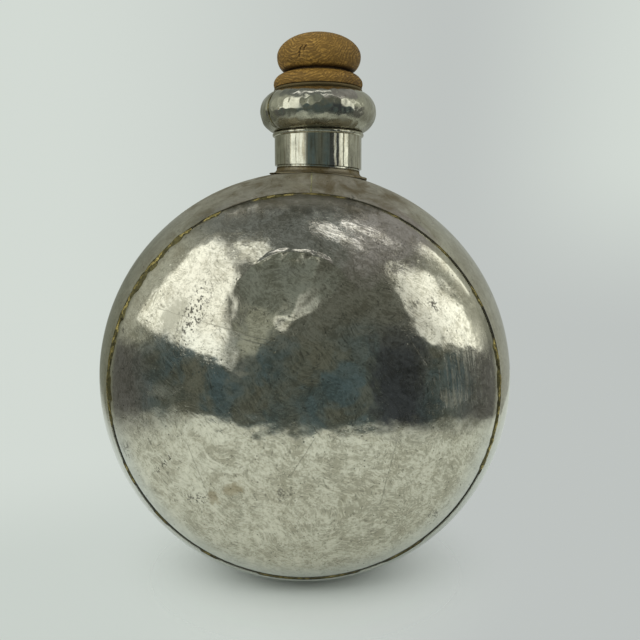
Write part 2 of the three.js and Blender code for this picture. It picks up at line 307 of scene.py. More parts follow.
def add_object(mesh, material=None):
    """Puts a mesh into the scene, as an object with the mesh's own name."""
    thing = bpy.data.objects.new(mesh.name, mesh)
    bpy.context.scene.collection.objects.link(thing)
    if material:
        mesh.materials.append(material)
    return thing


def dress(piece, node, body="flask"):
    """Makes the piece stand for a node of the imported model."""
    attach(piece, body)
    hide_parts(node)


# Finishes

class Value:
    """A shader socket. Arithmetic on it adds Math nodes."""

    def __init__(self, finish, socket):
        self.finish = finish
        self.socket = socket

    def _math(self, operation, first, second):
        return self.finish.node("Math", {"operation": operation}, {0: first, 1: second})

    def __add__(self, other):
        return self._math("ADD", self, other)

    def __sub__(self, other):
        return self._math("SUBTRACT", self, other)

    def __rsub__(self, other):
        return self._math("SUBTRACT", other, self)

    def __mul__(self, other):
        return self._math("MULTIPLY", self, other)

    def __truediv__(self, other):
        return self._math("DIVIDE", self, other)

    __radd__ = __add__
    __rmul__ = __mul__

    def most(self, other):
        return self._math("MAXIMUM", self, other)

    def ramp(self, low, high):
        """0 below low, 1 above high and an S-curve between them."""
        settings = {"interpolation_type": "SMOOTHSTEP"}
        return self.finish.node("MapRange", settings, {"Value": self, "From Min": low, "From Max": high})


class Finish:
    """A node tree under construction, of a material, a lamp or the world."""

    SCRATCH_EDGE = 0.09  # share of the noise over which a scratch comes in

    def __init__(self, owner):
        owner.use_nodes = True
        self.owner = owner
        self.tree = owner.node_tree
        self.tree.nodes.clear()

    @classmethod
    def material(cls, name):
        return cls(bpy.data.materials.new(name))

    def node(self, kind, settings=None, sockets=None, out=0):
        """Adds a node, makes its settings, then fills or links its sockets. Returns one of its outputs."""
        node = self.tree.nodes.new("ShaderNode" + kind)
        for name, value in (settings or {}).items():
            setattr(node, name, value)
        for name, value in (sockets or {}).items():
            if isinstance(value, Value):
                self.tree.links.new(value.socket, node.inputs[name])
            else:
                node.inputs[name].default_value = value
        return Value(self, node.outputs[out]) if len(node.outputs) else node

    def number(self, value):
        """A plain number that expressions can start from."""
        return self.node("Math", {"operation": "ADD"}, {0: value, 1: 0.0})

    def attribute(self, name):
        """A number that the mesh keeps at each of its points."""
        return self.node("Attribute", {"attribute_name": name}, out="Fac")

    def place(self):
        """The point on the surface, in the part's own frame."""
        return self.node("TexCoord", out="Object")

    def axis(self, name, where=None):
        """One coordinate of a point."""
        return self.node("SeparateXYZ", None, {0: where or self.place()}, out=name)

    def vector(self, operation, first, second=(0, 0, 0), out=0):
        return self.node("VectorMath", {"operation": operation}, {0: first, 1: second}, out)

    def along(self, direction, where=None):
        """How far a point lies along a direction."""
        return self.vector("DOT_PRODUCT", where or self.place(), direction, "Value")

    def distance(self, where, scale):
        """How far a point lies from the origin, once scaled axis by axis."""
        return self.vector("LENGTH", self.vector("MULTIPLY", where, scale), out="Value")

    def stretched(self, scale, lean=0.0, where=None):
        """The point, turned in the XZ plane and then scaled."""
        turned = self.node("Mapping", None, {"Vector": where or self.place(), "Rotation": (0, lean, 0)})
        return self.vector("MULTIPLY", turned, scale)

    def swirled(self, size, reach, detail=1.0, where=None):
        """The point, carried off by slow random swirls, for marks that run in curves."""
        where = where or self.place()
        sockets = {"Vector": where, "Scale": 1 / size, "Detail": detail}
        swirl = self.vector("SUBTRACT", self.node("TexNoise", None, sockets, "Color"), (0.5, 0.5, 0.5))
        return self.vector("ADD", where, self.vector("MULTIPLY", swirl, (reach, reach, reach)))

    def noise(self, size, detail=4.0, roughness=0.55, distortion=0.0, where=None):
        sockets = {
            "Vector": where or self.place(), "Scale": 1 / size, "Detail": detail,
            "Roughness": roughness, "Distortion": distortion,
        }
        return self.node("TexNoise", None, sockets)

    def streaks(self, grain, lean=0.0, detail=2, roughness=0.5, where=None):
        """Noise drawn out along X, Y and Z by the lengths of its grain, then leant over."""
        scale = [1 / size for size in grain]
        return self.noise(1, detail, roughness, where=self.stretched(scale, lean, where))

    def scratches(self, lean, spacing, reach, share, where=None):
        """Thin scratches along one direction of the XZ plane, over a share of the surface."""
        lines = self.streaks((spacing, spacing, reach), lean, where=where)
        return lines.ramp(1 - share, 1 - share + self.SCRATCH_EDGE)

    def spots(self, size, core, edge):
        """Spots about scattered points, fading from core to edge in shares of the points' spacing."""
        away = self.node("TexVoronoi", None, {"Vector": self.place(), "Scale": 1 / size})
        return 1 - away.ramp(core, edge)

    def mix(self, share, first, second):
        def rgba(value):
            return value if isinstance(value, Value) else (*value[:3], 1)
        sockets = {0: share, 6: rgba(first), 7: rgba(second)}
        return self.node("Mix", {"data_type": "RGBA"}, sockets, out=2)

    def coats(self, tone, *coats):
        """A tone under coats of colour. Each gives the share that it covers, and its own tone."""
        for share, cover in coats:
            tone = self.mix(share, tone, cover)
        return tone

    def bumps(self, *layers):
        """A normal bent by layers of relief. Each gives a height from about 0 to 1, and its depth."""
        normal = {}
        for height, depth in layers:
            sockets = {"Height": height, "Strength": 1.0, "Distance": depth, **normal}
            normal = {"Normal": self.node("Bump", None, sockets)}
        return normal["Normal"]

    def surface(self, tone, rough, normal, **others):
        """Ends the material."""
        sockets = {"Base Color": tone, "Roughness": rough, "Normal": normal, **others}
        self.node("OutputMaterial", None, {"Surface": self.node("BsdfPrincipled", None, sockets)})
        return self.owner


# Wear on the domes, by kind. Each patch gives its middle, to the right of the dome's centre and above it,
# its lean in radians, its length and its width. The lengths are in millimetres.
FRONT_WEAR = {
    "pits": ((-59, 50, 0.42, 46, 14), (-80, -38, 0.75, 26, 4), (-60, -56, 1.5, 20, 7), (72, 53, -0.5, 12, 5)),
    "stain": ((-50, -54, 0.3, 11, 8), (-38, -47, 1.2, 14, 9)),
    "grime": ((2, 113, 0.0, 24, 150),),
    "dull": ((-72, 47, 0.5, 26, 13), (102, 36, -0.5, 34, 17)),
    "crinkled": ((30, 88, 1.95, 88, 40), (-74, -10, 1.75, 74, 26)),
    "tired": ((62, -46, 0.5, 110, 76),),
    "haze": ((83, 1, 0.0, 14, 18), (-78, 6, 1.4, 22, 10)),
    "brushed": ((90, 12, 0.0, 44, 52),),
}
REAR_WEAR = {
    "pits": ((40, -20, 0.6, 45, 15),),
    "stain": ((-30, -60, 0.3, 20, 11),),
    "dull": ((-45, 30, 0.5, 60, 25),),
    "brushed": ((60, 40, 0.2, 50, 50),),
}
# Long single scratches in the front dome: both ends, in millimetres right of the dome's centre and above it
FRONT_SCRATCHES = (
    (-84, 52, -12, 35), (-41, 39.5, -12, 32.5), (54, 42, 70, 17), (-8, -40, 8, -14),
    (66, -62, 30, -84), (-64, -20, -52, -56), (52, -16, 42, -60),
)
SCRATCH_CORE, SCRATCH_HALF = mm(0.1, 0.45)  # from a scratch's middle to where it starts to fade and ends
SCRATCH_TAPER = 4 * MM  # over which its tips fade
ROUND_BRUSHING = mm(14, 0.6, 14), 0.0  # grain along X, Y and Z of lines that run round the body, and its lean
UPRIGHT_BRUSHING = mm(0.7, 20, 26), 0.12  # the same for lines that run up and down a face
PIT_RELIEF, LINE_RELIEF, WRINKLE_RELIEF = mm(0.036, 0.010, 0.028)
NECK_RELIEF, BRAZE_RELIEF, SOLDER_RELIEF, WOOD_RELIEF = mm(0.03, 0.12, 0.05, 0.14)


def scored(finish, scratches):
    """Where long single scratches run over the face of a dome, 0 to 1."""
    wander = (finish.noise(12 * MM, 2) - 0.5) * (2 * MM)
    zone = finish.number(0.0)
    for scratch in scratches:
        start_x, start_h, end_x, end_h = mm(*scratch)
        run = Vector((end_x - start_x, 0, end_h - start_h))
        from_start = finish.vector("SUBTRACT", finish.place(), (start_x, 0, BODY_HEIGHT + start_h))
        along = finish.along(run.normalized(), from_start)
        across = finish.along(Vector((-run.z, 0, run.x)).normalized(), from_start) + wander
        mark = 1 - (across * across).ramp(SCRATCH_CORE**2, SCRATCH_HALF**2)
        mark = mark * along.ramp(0, SCRATCH_TAPER)
        zone = zone.most(mark * (1 - along.ramp(run.length - SCRATCH_TAPER, run.length)))
    return zone


def worn_zone(finish, patches):
    """Ragged soft-edged patches of wear on the face of a dome, 0 to 1."""
    ragged = (finish.noise(5 * MM, 4, 0.66) - 0.5) * 2.2
    zone = finish.number(0.0)
    for x, h, lean, length, width in patches:
        away = finish.vector("SUBTRACT", finish.place(), (x * MM, 0, BODY_HEIGHT + h * MM))
        away = finish.stretched((2 / (width * MM), 0, 2 / (length * MM)), -lean, away)
        zone = zone.most(1 - (finish.vector("LENGTH", away, out="Value") + ragged).ramp(0.4, 1.2))
    return zone


def seam_zones(finish):
    """Nearness to the seams, 0 to 1: all round, on the upper half, on the lower half and at the crown."""
    height = finish.axis("Z")
    from_axis = finish.vector("SUBTRACT", finish.place(), (0, 0, BODY_HEIGHT))
    near = finish.distance(from_axis, (1, 0, 1)).ramp(BODY_RADIUS - 32 * MM, BODY_RADIUS - 14 * MM)
    upper = near * height.ramp(BODY_HEIGHT + 15 * MM, BODY_HEIGHT + 80 * MM)
    lower = near * (1 - height.ramp(BODY_HEIGHT - 40 * MM, BODY_HEIGHT))
    crown = near * height.ramp(CROWN - 36 * MM, CROWN - 14 * MM)
    return near, upper, lower, crown


def body_metal(name, colours, brushing, patches=None, scratches=(), film=0.0):
    """Tinned body metal, rubbed bright: mottled, scratched, pitted in places, browned at the upper seam."""
    finish = Finish.material(name)
    zone = {kind: worn_zone(finish, (patches or {}).get(kind, ())) for kind in FRONT_WEAR}
    dull, brushed = zone["dull"], zone["brushed"]
    near_seam, upper, lower, crown = seam_zones(finish)
    grain = finish.noise(1.0 * MM, 3, 0.7)
    flecks = finish.noise(3.6 * MM, 4, 0.66, 0.7)
    clouds = finish.noise(13 * MM, 6, 0.66, 0.8)
    ripples = finish.noise(4 * MM, 1, 0.4)
    broad = finish.noise(60 * MM, 2, 0.5).ramp(0.36, 0.64)
    streaks = finish.streaks(*brushing, 3, 0.6)
    wrinkles = finish.streaks(mm(1.3, 1.3, 7), 1.13, 2, 0.6)

    pit_zone = zone["pits"].most(finish.noise(21 * MM, 4, 0.6).ramp(0.62, 0.74) * 0.7)
    pits = finish.spots(1.7 * MM, 0.2, 0.4).most(finish.scratches(0.5, 1.5 * MM, 4 * MM, 0.46)) * pit_zone
    specks = finish.spots(4.2 * MM, 0.06, 0.14) * finish.noise(9 * MM, 2).ramp(0.42, 0.56)
    dings = finish.spots(4.7 * MM, 0.05, 0.2) * finish.noise(19 * MM, 3).ramp(0.5, 0.64)
    curved = finish.swirled(30 * MM, 26 * MM)
    strokes = finish.scratches(0.5, 1.2 * MM, 5 * MM, 0.39, curved)
    strokes = strokes.most(finish.scratches(-0.9, 1.1 * MM, 4 * MM, 0.38, curved))
    marks = strokes * (1 - near_seam * 0.75) * clouds.ramp(0.38, 0.54)
    polish = finish.streaks(mm(1.3, 1.3, 15), 0.9, 4, 0.62, curved)
    hairs = finish.scratches(1.1, 1.0 * MM, 12 * MM, 0.36, curved) * clouds.ramp(0.46, 0.58)
    rubbed = finish.scratches(1.25, 1.1 * MM, 6 * MM, 0.44, curved)
    lines = finish.scratches(0.35, 0.8 * MM, 34 * MM, 0.32)
    lines = lines.most(finish.scratches(1.32, 0.7 * MM, 30 * MM, 0.32)).most(scored(finish, scratches))

    brown = finish.noise(13 * MM, 6, 0.7, 0.5).ramp(0.36, 0.72)
    stain = brown * (0.17 + 0.3 * upper + 0.2 * crown) * (1 - 0.5 * near_seam + 0.5 * upper)
    stain = (stain + crown * 0.25 + film).most(zone["stain"] * 0.6)
    wear = (grain * 0.18 + flecks * 0.28 + clouds * 0.28 + polish * 0.26).ramp(0.42, 0.58)
    wear = (wear + (broad - 0.5) * 0.3) * (1 - 0.5 * near_seam) + dull * 0.6 + zone["tired"] * 0.3
    wear = wear + (streaks - 0.5) * (0.5 + 1.0 * brushed)
    tone = finish.coats(
        colours.metal,
        (wear, colours.metal_dull),
        (rubbed * 0.7, colours.metal),
        # painted reflection of the floor along the lower seam
        (lower * (0.5 + 0.5 * clouds), colours.lower_seam_reflection),
        (stain, colours.tarnish),
        (zone["grime"] * 0.7, colours.neck_grime_and_shade),
        (marks * 0.6, colours.metal_dark),
        (lines * 0.35, colours.metal_dark),
        (dull * 0.85, colours.metal_dull),
        ((pits * 0.9).most(specks * 0.8), colours.pit),
    )
    rough = 0.055 + 0.05 * flecks + 0.03 * broad + 0.18 * stain + 0.15 * pits + 0.10 * dull
    rough = rough + 0.16 * zone["haze"] + 0.36 * crown + 0.14 * hairs * (1 - near_seam) + 0.12 * lines
    rough = rough + brushed * streaks.ramp(0.42, 0.66) * 0.24
    normal = finish.bumps(
        (ripples + grain * 0.05 - pits * 0.9 - specks * 0.5 - dings * 1.2, PIT_RELIEF),
        (streaks * (0.3 + 1.4 * brushed) + lines * 0.7 - marks * 0.8 - hairs * 0.5, LINE_RELIEF),
        (wrinkles * zone["crinkled"], WRINKLE_RELIEF),
    )
    return finish.surface(tone, rough, normal, Metallic=1.0)


def neck_metal(name, colours, drawn, dirt=0.0, under=None):
    """Brighter, smoother neck metal: drawn upright, filmed with dirt, with painted shade low down if asked.
    """
    finish = Finish.material(name)
    clouds = finish.noise(6 * MM, 5, 0.6, 0.3).ramp(0.36, 0.66)
    grit = finish.noise(0.9 * MM, 3, 0.6).ramp(0.3, 0.7)
    spots = finish.spots(6 * MM, 0.07, 0.16) * finish.noise(8 * MM, 2).ramp(0.46, 0.6)
    upright = finish.streaks(mm(1.1, 1.1, 16))
    film = (0.2 + 0.8 * finish.noise(4 * MM, 4, 0.65).ramp(0.4, 0.65)) * dirt
    if under:
        # Painted shade: below the heights given, the metal darkens toward the grime colour
        film = film.most((1 - finish.axis("Z").ramp(*under)) * 0.6)
    tone = finish.coats(
        colours.neck,
        (clouds * 0.55 + (upright - 0.5) * 1.3 * drawn, colours.metal_dull),
        (grit * 0.25, colours.metal_dull),
        (upright.ramp(0.5, 0.68) * 0.5 * drawn, colours.tarnish),
        (spots * 0.75, colours.tarnish),
        (film * 0.85, colours.neck_grime_and_shade),
    )
    rough = 0.06 + 0.06 * clouds + 0.04 * grit + 0.3 * film
    relief = clouds * 0.6 + grit * 0.1 - spots * 0.4 + upright * 0.25 * drawn
    return finish.surface(tone, rough, finish.bumps((relief, NECK_RELIEF)), Metallic=1.0)


def braze_metal(name, colours):
    """Lumpy olive braze with golden ridges of rubbed braze and painted highlight. Where little of it shows,
    dark oxide fills the seam.
    """
    finish = Finish.material(name)
    across = finish.attribute("across")
    covered = finish.attribute("fullness").ramp(0.08, 0.36)
    lumps = finish.noise(3 * MM, 4, 0.66, 0.5).ramp(0.36, 0.64)
    off_ridge = across - 0.45 + (finish.noise(6 * MM, 3, 0.6) - 0.5) * 1.6
    # Painted highlight along the bead's crest, partly rubbed braze
    rubbed_ridge_highlight = (1 - (off_ridge * off_ridge).ramp(0.01, 0.06)) * finish.noise(5 * MM, 4, 0.7).ramp(0.42, 0.54)
    gap = 1 - across.ramp(0.05, 0.2)
    grit = finish.noise(0.7 * MM, 2, 0.6)
    tone = finish.coats(colours.braze, (lumps * 0.75, colours.oxide), (rubbed_ridge_highlight, colours.braze_rubbed_highlight))
    tone = finish.mix(covered * (1 - gap), colours.oxide, tone)
    rough = 0.62 - 0.2 * covered - 0.15 * rubbed_ridge_highlight
    normal = finish.bumps((lumps + grit * 0.4, BRAZE_RELIEF))
    return finish.surface(tone, rough, normal, Metallic=covered * 0.9)


def solder_metal(name, colours):
    """Pale solder, dull and spotted, in the hoop's joint."""
    finish = Finish.material(name)
    spots = finish.noise(2.2 * MM, 4, 0.6).ramp(0.45, 0.66)
    tone = finish.mix(spots * 0.7, colours.solder, colours.braze)
    return finish.surface(tone, 0.38 + 0.2 * spots, finish.bumps((spots, SOLDER_RELIEF)), Metallic=1.0)


def turned_wood(name, colours):
    """Old turned wood: growth rings that curl round a knot, fine grain, pores, and grime and painted shade in
    the grooves.
    """
    finish = Finish.material(name)
    bent = finish.swirled(8 * MM, 9 * MM, 3.0, finish.vector("SUBTRACT", finish.place(), WOOD_KNOT))
    across = finish.distance(bent, (0.9, 0.4, 0.8)) / WOOD_RING
    rings = finish.node("Math", {"operation": "SINE"}, {0: across}) * 0.5 + 0.5
    round_grain = [1 / size for size in mm(4.5, 4.5, 0.55)]
    fibre = finish.noise(1, 4, 0.7, 0, finish.vector("MULTIPLY", bent, round_grain))
    pores = finish.noise(1.0 * MM, 3, 0.65).ramp(0.56, 0.66)
    dots = finish.noise(1.6 * MM, 4, 0.7)
    patches = finish.noise(11 * MM, 4, 0.6, 0.4).ramp(0.36, 0.66)
    light = rings * 0.36 + (fibre - 0.5) * 2.9 + (dots - 0.5) * 0.7 + 0.08
    tone = finish.coats(
        colours.wood,
        (light.ramp(0.1, 0.86), colours.wood_light),
        (patches * 0.4, colours.wood),
        ((1 - rings).ramp(0.55, 0.95) * (1 - patches) * 0.35, colours.wood_dark),
        (pores * 0.38, colours.wood_dark),
        # grime in the crack and groove, painted shade in the groove and on the right side
        (finish.attribute("grime") * 0.9, colours.wood_dark),
    )
    rough = 0.5 + 0.14 * fibre + 0.1 * patches
    normal = finish.bumps((rings * 0.4 + fibre * 0.7 + dots * 0.2 - pores * 0.4, WOOD_RELIEF))
    return finish.surface(tone, rough, normal, **{"Specular IOR Level": 0.25})


# Body

Dent = namedtuple("Dent", "x h radius depth")  # place on the dome as seen from its own front, in metres

STRUCK = Dent(*mm(-4.7, 46.6, 36, 0))  # circle whose top is the hollow's lip; its depth is a setting
LIP_WIDTH = 2.0 * MM  # of the bevel that rises to the lip from above
HOLLOW_WALL = 4.5 * MM  # over which the hollow and the lip fall away inside
HOLLOW_REACH = mm(9, 42)  # distances below the lip between which the hollow comes out again
CRINKLE = Dent(*mm(26, 90, 44, 0.028))  # finely wrinkled zone under the top seam
FRONT_DENTS = [Dent(*mm(*dent)) for dent in (
    (54, 28, 17, 0.20), (-24, -12, 6, 0.12), (-1, -11.5, 8, 0.16), (-56, 14, 9, 0.13), (-60, 10, 4, 0.10),
    (-45, 15, 4, 0.09), (-37, 10, 5, 0.11), (-91, 36, 5, 0.13), (-75, 6, 7, 0.12), (72, 37, 6, 0.13),
    (88, 34, 5, 0.12),
)]
SMALL_DENTS = 46  # scattered over each dome
SMALL_DENT_RADII, SMALL_DENT_DEPTHS = (5, 12), (0.03, 0.11)  # least and greatest, in millimetres
LAP_STEPS = 4
SHOULDER_STEPS = 20
LINING_STEPS = 24, 6  # over the cap and the shoulder of a dome's inner face
FRONT_STEPS, REAR_STEPS = (480, 200), (280, 90)  # round a dome and over its cap
DOME_TRUE = BODY_RADIUS - 32 * MM, BODY_RADIUS - 17 * MM  # between which a dome comes true again at its seam
BAND_STEPS = 360
BAND_POINTS = 49  # across the band
BAND_CROWDING = 1.45  # draws them together toward both edges, the more the nearer to a quarter turn
BAND_BEVEL = 4 * MM  # width of the band's hammered-down edges
BAND_THINNING = 0.6  # share of the sheet's thickness that they lose
LIFT_REACH = TUBE_RADIUS + 5 * MM, TUBE_RADIUS + 18 * MM  # between which the band's rise to the neck ends


def seam_angle(sizes):
    """Along the band's section, from its crown to a seam."""
    return math.asin(BAND_HALF / sizes.crown)


def dome_section(sizes):
    """Centre of a dome's shoulder, the angle and radius of its cap and the height of the cap's centre."""
    angle = seam_angle(sizes)
    reach = sizes.crown - sizes.sheet - FIT - sizes.shoulder
    bend_x = BODY_RADIUS - sizes.crown + reach * math.cos(angle)
    bend_y = -reach * math.sin(angle)
    cap_angle = 2 * math.atan((DOME_DEPTH + bend_y - sizes.shoulder) / bend_x)
    cap_radius = sizes.shoulder + bend_x / math.sin(cap_angle)
    return bend_x, bend_y, cap_angle, cap_radius, cap_radius - DOME_DEPTH


def dome_face(sizes, inset, cap_steps, bend_steps):
    """One face of a dome's sheet from its centre to its tucked edge, as radius and depth."""
    bend_x, bend_y, cap_angle, cap_radius, cap_y = dome_section(sizes)
    down, angle = -math.pi / 2, seam_angle(sizes)
    tucked = angle - sizes.lap / sizes.crown
    lap_radius = sizes.crown - sizes.sheet - FIT - inset
    return np.vstack([
        arc(0, cap_y, cap_radius - inset, down, down + cap_angle, cap_steps, crowding=0.75)[:-1],
        arc(bend_x, bend_y, sizes.shoulder - inset, down + cap_angle, -angle, bend_steps)[:-1],
        arc(BODY_RADIUS - sizes.crown, 0, lap_radius, -angle, -tucked, LAP_STEPS),
    ])


def beaten(x, h, sizes, seed, dents):
    """How far waves and small dents take a dome's sheet out of true, inward positive."""
    ripple, spot = Ripple(seed), on_plane(x, h)
    waves = ripple(spot, 46 * MM) + 0.35 * ripple(spot, 19 * MM) + 0.40 * ripple(spot, 8 * MM)
    relief = sizes.wave * waves + 0.04 * MM * ripple(spot, 4.5 * MM)
    draw = np.random.default_rng(seed)
    reach = 0.8 * BODY_RADIUS
    scattered = []
    for _ in range(SMALL_DENTS):
        centre, radius = draw.uniform(-reach, reach, 2), draw.uniform(*SMALL_DENT_RADII)
        scattered.append(Dent(*centre, radius * MM, draw.uniform(*SMALL_DENT_DEPTHS) * MM))
    for dent in [*dents, *scattered]:
        away = np.hypot(x - dent.x, h - dent.h) / dent.radius
        relief = relief + dent.depth * np.clip(1 - away**2, 0, None) ** 2
    return relief


def struck(x, h, sizes):
    """The hollow above the front dome's middle, sharp at its upper lip, and the wrinkles by it."""
    spot = on_plane(x, h)
    away = np.hypot(x - STRUCK.x, h - STRUCK.h) + 0.8 * MM * Ripple(63)(spot, 9 * MM, 2)
    up = (h - STRUCK.h) / np.maximum(away, 1 * MM)
    below = STRUCK.radius - away
    wall = np.exp(-np.maximum(below, 0) / HOLLOW_WALL)
    hollow = sizes.dent * smooth(up, 0.3, 0.9) * (1 - wall) * (1 - smooth(below, *HOLLOW_REACH))
    strength = smooth(up, 0.78, 0.94) * (1 + 0.4 * Ripple(64)(spot, 7 * MM, 2))
    bevel = np.clip(1 + below / (LIP_WIDTH * np.maximum(strength, 0.05)), 0, 1)
    lip = sizes.dent_lip * strength * bevel * wall
    apart = np.hypot((x - CRINKLE.x) / CRINKLE.radius, 2 * (h - CRINKLE.h) / CRINKLE.radius)
    drawn_out = on_plane((0.9 * x - 0.4 * h) / 2.5, 0.4 * x + 0.9 * h)
    wrinkles = Ripple(77)(drawn_out, 2.8 * MM) + 1.5 * Ripple(78)(spot, 7 * MM)
    return hollow - lip + wrinkles * CRINKLE.depth * smooth(1 - apart, 0, 0.4)


def dome_mesh(name, sizes, side, relief, steps, cap_steps):
    """A dome's sheet, out of true by relief(x, h). Side -1 is the front and 1 the rear."""
    face = dome_face(sizes, 0, cap_steps, SHOULDER_STEPS)
    profile = np.vstack([face, dome_face(sizes, sizes.sheet, *LINING_STEPS)[::-1]])
    turn = np.linspace(0, 2 * math.pi, steps, endpoint=False)
    x, h = profile[:, :1] * np.sin(turn), profile[:, :1] * np.cos(turn)
    depth = profile[:, 1:] + relief(x, h) * (1 - smooth(np.hypot(x, h), *DOME_TRUE))
    return pole_mesh(name, round_body(profile[:, :1], depth, turn, side))


def band_height(sizes, x, y):
    """Height of the crowned band's upper side above a point of the floor plan."""
    reach = BODY_RADIUS - sizes.crown + np.sqrt(sizes.crown**2 - y**2)
    return BODY_HEIGHT + np.sqrt(np.maximum(reach**2 - x**2, 0))


def neck_lift(sizes, x, y):
    """How far the band is drawn up to the neck, in front of it and behind it."""
    away = np.maximum(np.hypot(x - NECK_X, y), 1 * MM)
    near = 1 - smooth(away, *LIFT_REACH)
    seat = CROWN - SEAT_DROP - FOOT_SLANT * (x - NECK_X)
    return near * (y / away) ** 2 * np.maximum(seat - band_height(sizes, x, y), 0)


def band_joint_angle(sizes):
    """From the top of the hoop round to its joint."""
    return math.asin(sizes.joint_offset / BODY_RADIUS)


def band_mesh(name, sizes):
    """The hoop, open at its joint, with rounded edges and the flat hammered into its underside."""
    angle, centre = seam_angle(sizes), BODY_RADIUS - sizes.crown
    spread = np.sin(np.linspace(-BAND_CROWDING, BAND_CROWDING, BAND_POINTS))
    lean = angle * spread / math.sin(BAND_CROWDING)
    thinned = BAND_THINNING * sizes.sheet * smooth(np.abs(lean), angle - BAND_BEVEL / sizes.crown, angle)
    outer = np.column_stack([centre + (sizes.crown - thinned) * np.cos(lean), sizes.crown * np.sin(lean)])
    bare = sizes.crown - sizes.sheet
    inner = np.column_stack([centre + bare * np.cos(lean), bare * np.sin(lean)])[::-1]
    profile = np.vstack([outer, inner])
    half_gap = sizes.joint_gap / 2 / BODY_RADIUS
    joint = band_joint_angle(sizes)
    turn = np.linspace(joint + half_gap, joint + 2 * math.pi - half_gap, BAND_STEPS)
    radius, depth = profile[:, :1] + np.zeros_like(turn), profile[:, 1:] + np.zeros_like(turn)
    spot = np.stack([radius * np.sin(turn), depth, radius * np.cos(turn)], axis=-1)
    ripple = Ripple(31)
    radius = radius + sizes.wave * (0.6 * ripple(spot, 48 * MM) + 0.12 * ripple(spot, 14 * MM))
    points = round_body(radius, depth, turn)
    points[..., 2] += neck_lift(sizes, points[..., 0], points[..., 1]) * (points[..., 2] > BODY_HEIGHT)
    floor = np.where(np.arange(len(profile)) < len(outer), 0, sizes.sheet)[:, None]
    points[..., 2] = np.maximum(points[..., 2], floor)
    return ring_mesh(name, points, closed=False)


# Runs of each seam's bead: start and end in degrees clockwise from the top, seen from that side, and fullness
BEAD_RUNS = (
    (-7, 11, 0.3), (24, 27, 0.25), (42, 45, 0.35), (59, 62, 0.6), (76, 113, 0.7), (144, 153, 0.3),
    (165, 192, 0.28), (209, 211, 0.3), (227, 229, 0.4), (243, 246, 0.45), (262, 324, 0.9),
    (332, 334, 0.55), (347, 352, 0.42),
)
BEAD_FADE = 3  # degrees over which a run fades out
BEAD_STEPS = 900
BEAD_POINTS = 12  # over the bead's visible face
BEAD_LIP = 1.4 * MM  # by which a full bead laps over the band
JOINT_STEPS = 90


def bead_fullness(turn):
    """How full the bead is, from 0 to 1, at angles clockwise from the top."""
    degrees = np.degrees(turn)
    runs = []
    for start, end, full in BEAD_RUNS:
        off = np.abs((degrees - (start + end) / 2 + 180) % 360 - 180)
        runs.append(full * (1 - smooth(off - (end - start) / 2, 0, BEAD_FADE)))
    return np.max(runs, axis=0)


def bead_mesh(name, sizes, side, seed):
    """Braze run into the step between the band's edge and a dome's shoulder."""
    bend_x, bend_y, *_ = dome_section(sizes)
    edge = seam_angle(sizes)
    turn = np.linspace(0, 2 * math.pi, BEAD_STEPS, endpoint=False)
    ripple = Ripple(seed)
    rim = np.stack([np.sin(turn), np.zeros_like(turn), np.cos(turn)], axis=-1) * BODY_RADIUS
    full = np.clip(bead_fullness(turn) * (1 + 0.6 * ripple(rim, 9 * MM, 2)), 0, 1)
    lump = 1 + 0.4 * ripple(rim + 1, 11 * MM, 3)
    width = (sizes.bead_thin + (sizes.bead_full - sizes.bead_thin) * full) * lump
    lip = BEAD_LIP * full * (1 + 0.45 * ripple(rim + 3, 12 * MM, 3))
    step = ((1 - BAND_THINNING) * sizes.sheet + FIT) * (0.5 + 0.5 * full)
    rise = (0.6 * full - 0.12) * MM * (1 + 0.4 * ripple(rim + 2, 9 * MM, 3))

    share = np.linspace(0, 1, BEAD_POINTS)[:, None]
    along = edge + (-lip + (width + lip) * share) / sizes.shoulder
    over = lip / (width + lip)  # share of the face that lies on the band
    drop = smooth(share, over * 0.9, 1)
    radius = sizes.shoulder + step * (1 - drop) + rise * np.sin(math.pi * share) ** 0.8
    under = np.array([1, 0.5, 0])[:, None]
    along = np.vstack([along, edge + width * under / sizes.shoulder])
    buried = np.full((len(under), len(turn)), sizes.shoulder - 0.4 * sizes.sheet)
    radius = np.vstack([radius, buried])
    away, depth = bend_x + radius * np.cos(along), bend_y - radius * np.sin(along)
    points = round_body(away, depth, turn, side)
    mesh = ring_mesh(name, points)
    keep_values(mesh, "fullness", np.broadcast_to(full, points.shape[:2]))
    keep_values(mesh, "across", np.vstack([share, np.zeros_like(under)]) + np.zeros_like(turn))
    return mesh


def joint_mesh(name, sizes, side):
    """Braze in the hoop's joint on one side of the neck: side -1 is the front and 1 the rear."""
    inside = math.asin((TUBE_RADIUS + 2 * FIT) / sizes.crown)
    section = np.linspace(inside, seam_angle(sizes), JOINT_STEPS)
    ripple = Ripple(57)
    path = on_plane(section * sizes.crown, np.full_like(section, side))
    proud = 0.05 * MM * (1 + ripple(path, 4 * MM, 2))
    half = sizes.joint_gap / 2 * (1.7 + 0.7 * ripple(path, 6 * MM, 2))
    across = np.array([-1, -0.5, 0, 0.5, 1, 1, 0.5, 0, -0.5, -1])[:, None]
    height = np.array([0, 0.8, 1, 0.8, 0, -1, -1, -1, -1, -1])[:, None]
    lift = np.where(height < 0, -sizes.sheet, height * proud)
    width = np.where(height < 0, sizes.joint_gap / 2, half) * across
    radius = BODY_RADIUS - sizes.crown + (sizes.crown + lift) * np.cos(section)
    turn = band_joint_angle(sizes) + width / BODY_RADIUS
    depth = side * (sizes.crown + lift) * np.sin(section)
    points = round_body(radius, depth, turn)
    points[..., 2] += neck_lift(sizes, points[..., 0], points[..., 1])
    return ring_mesh(name, points, closed=False)


# Neck

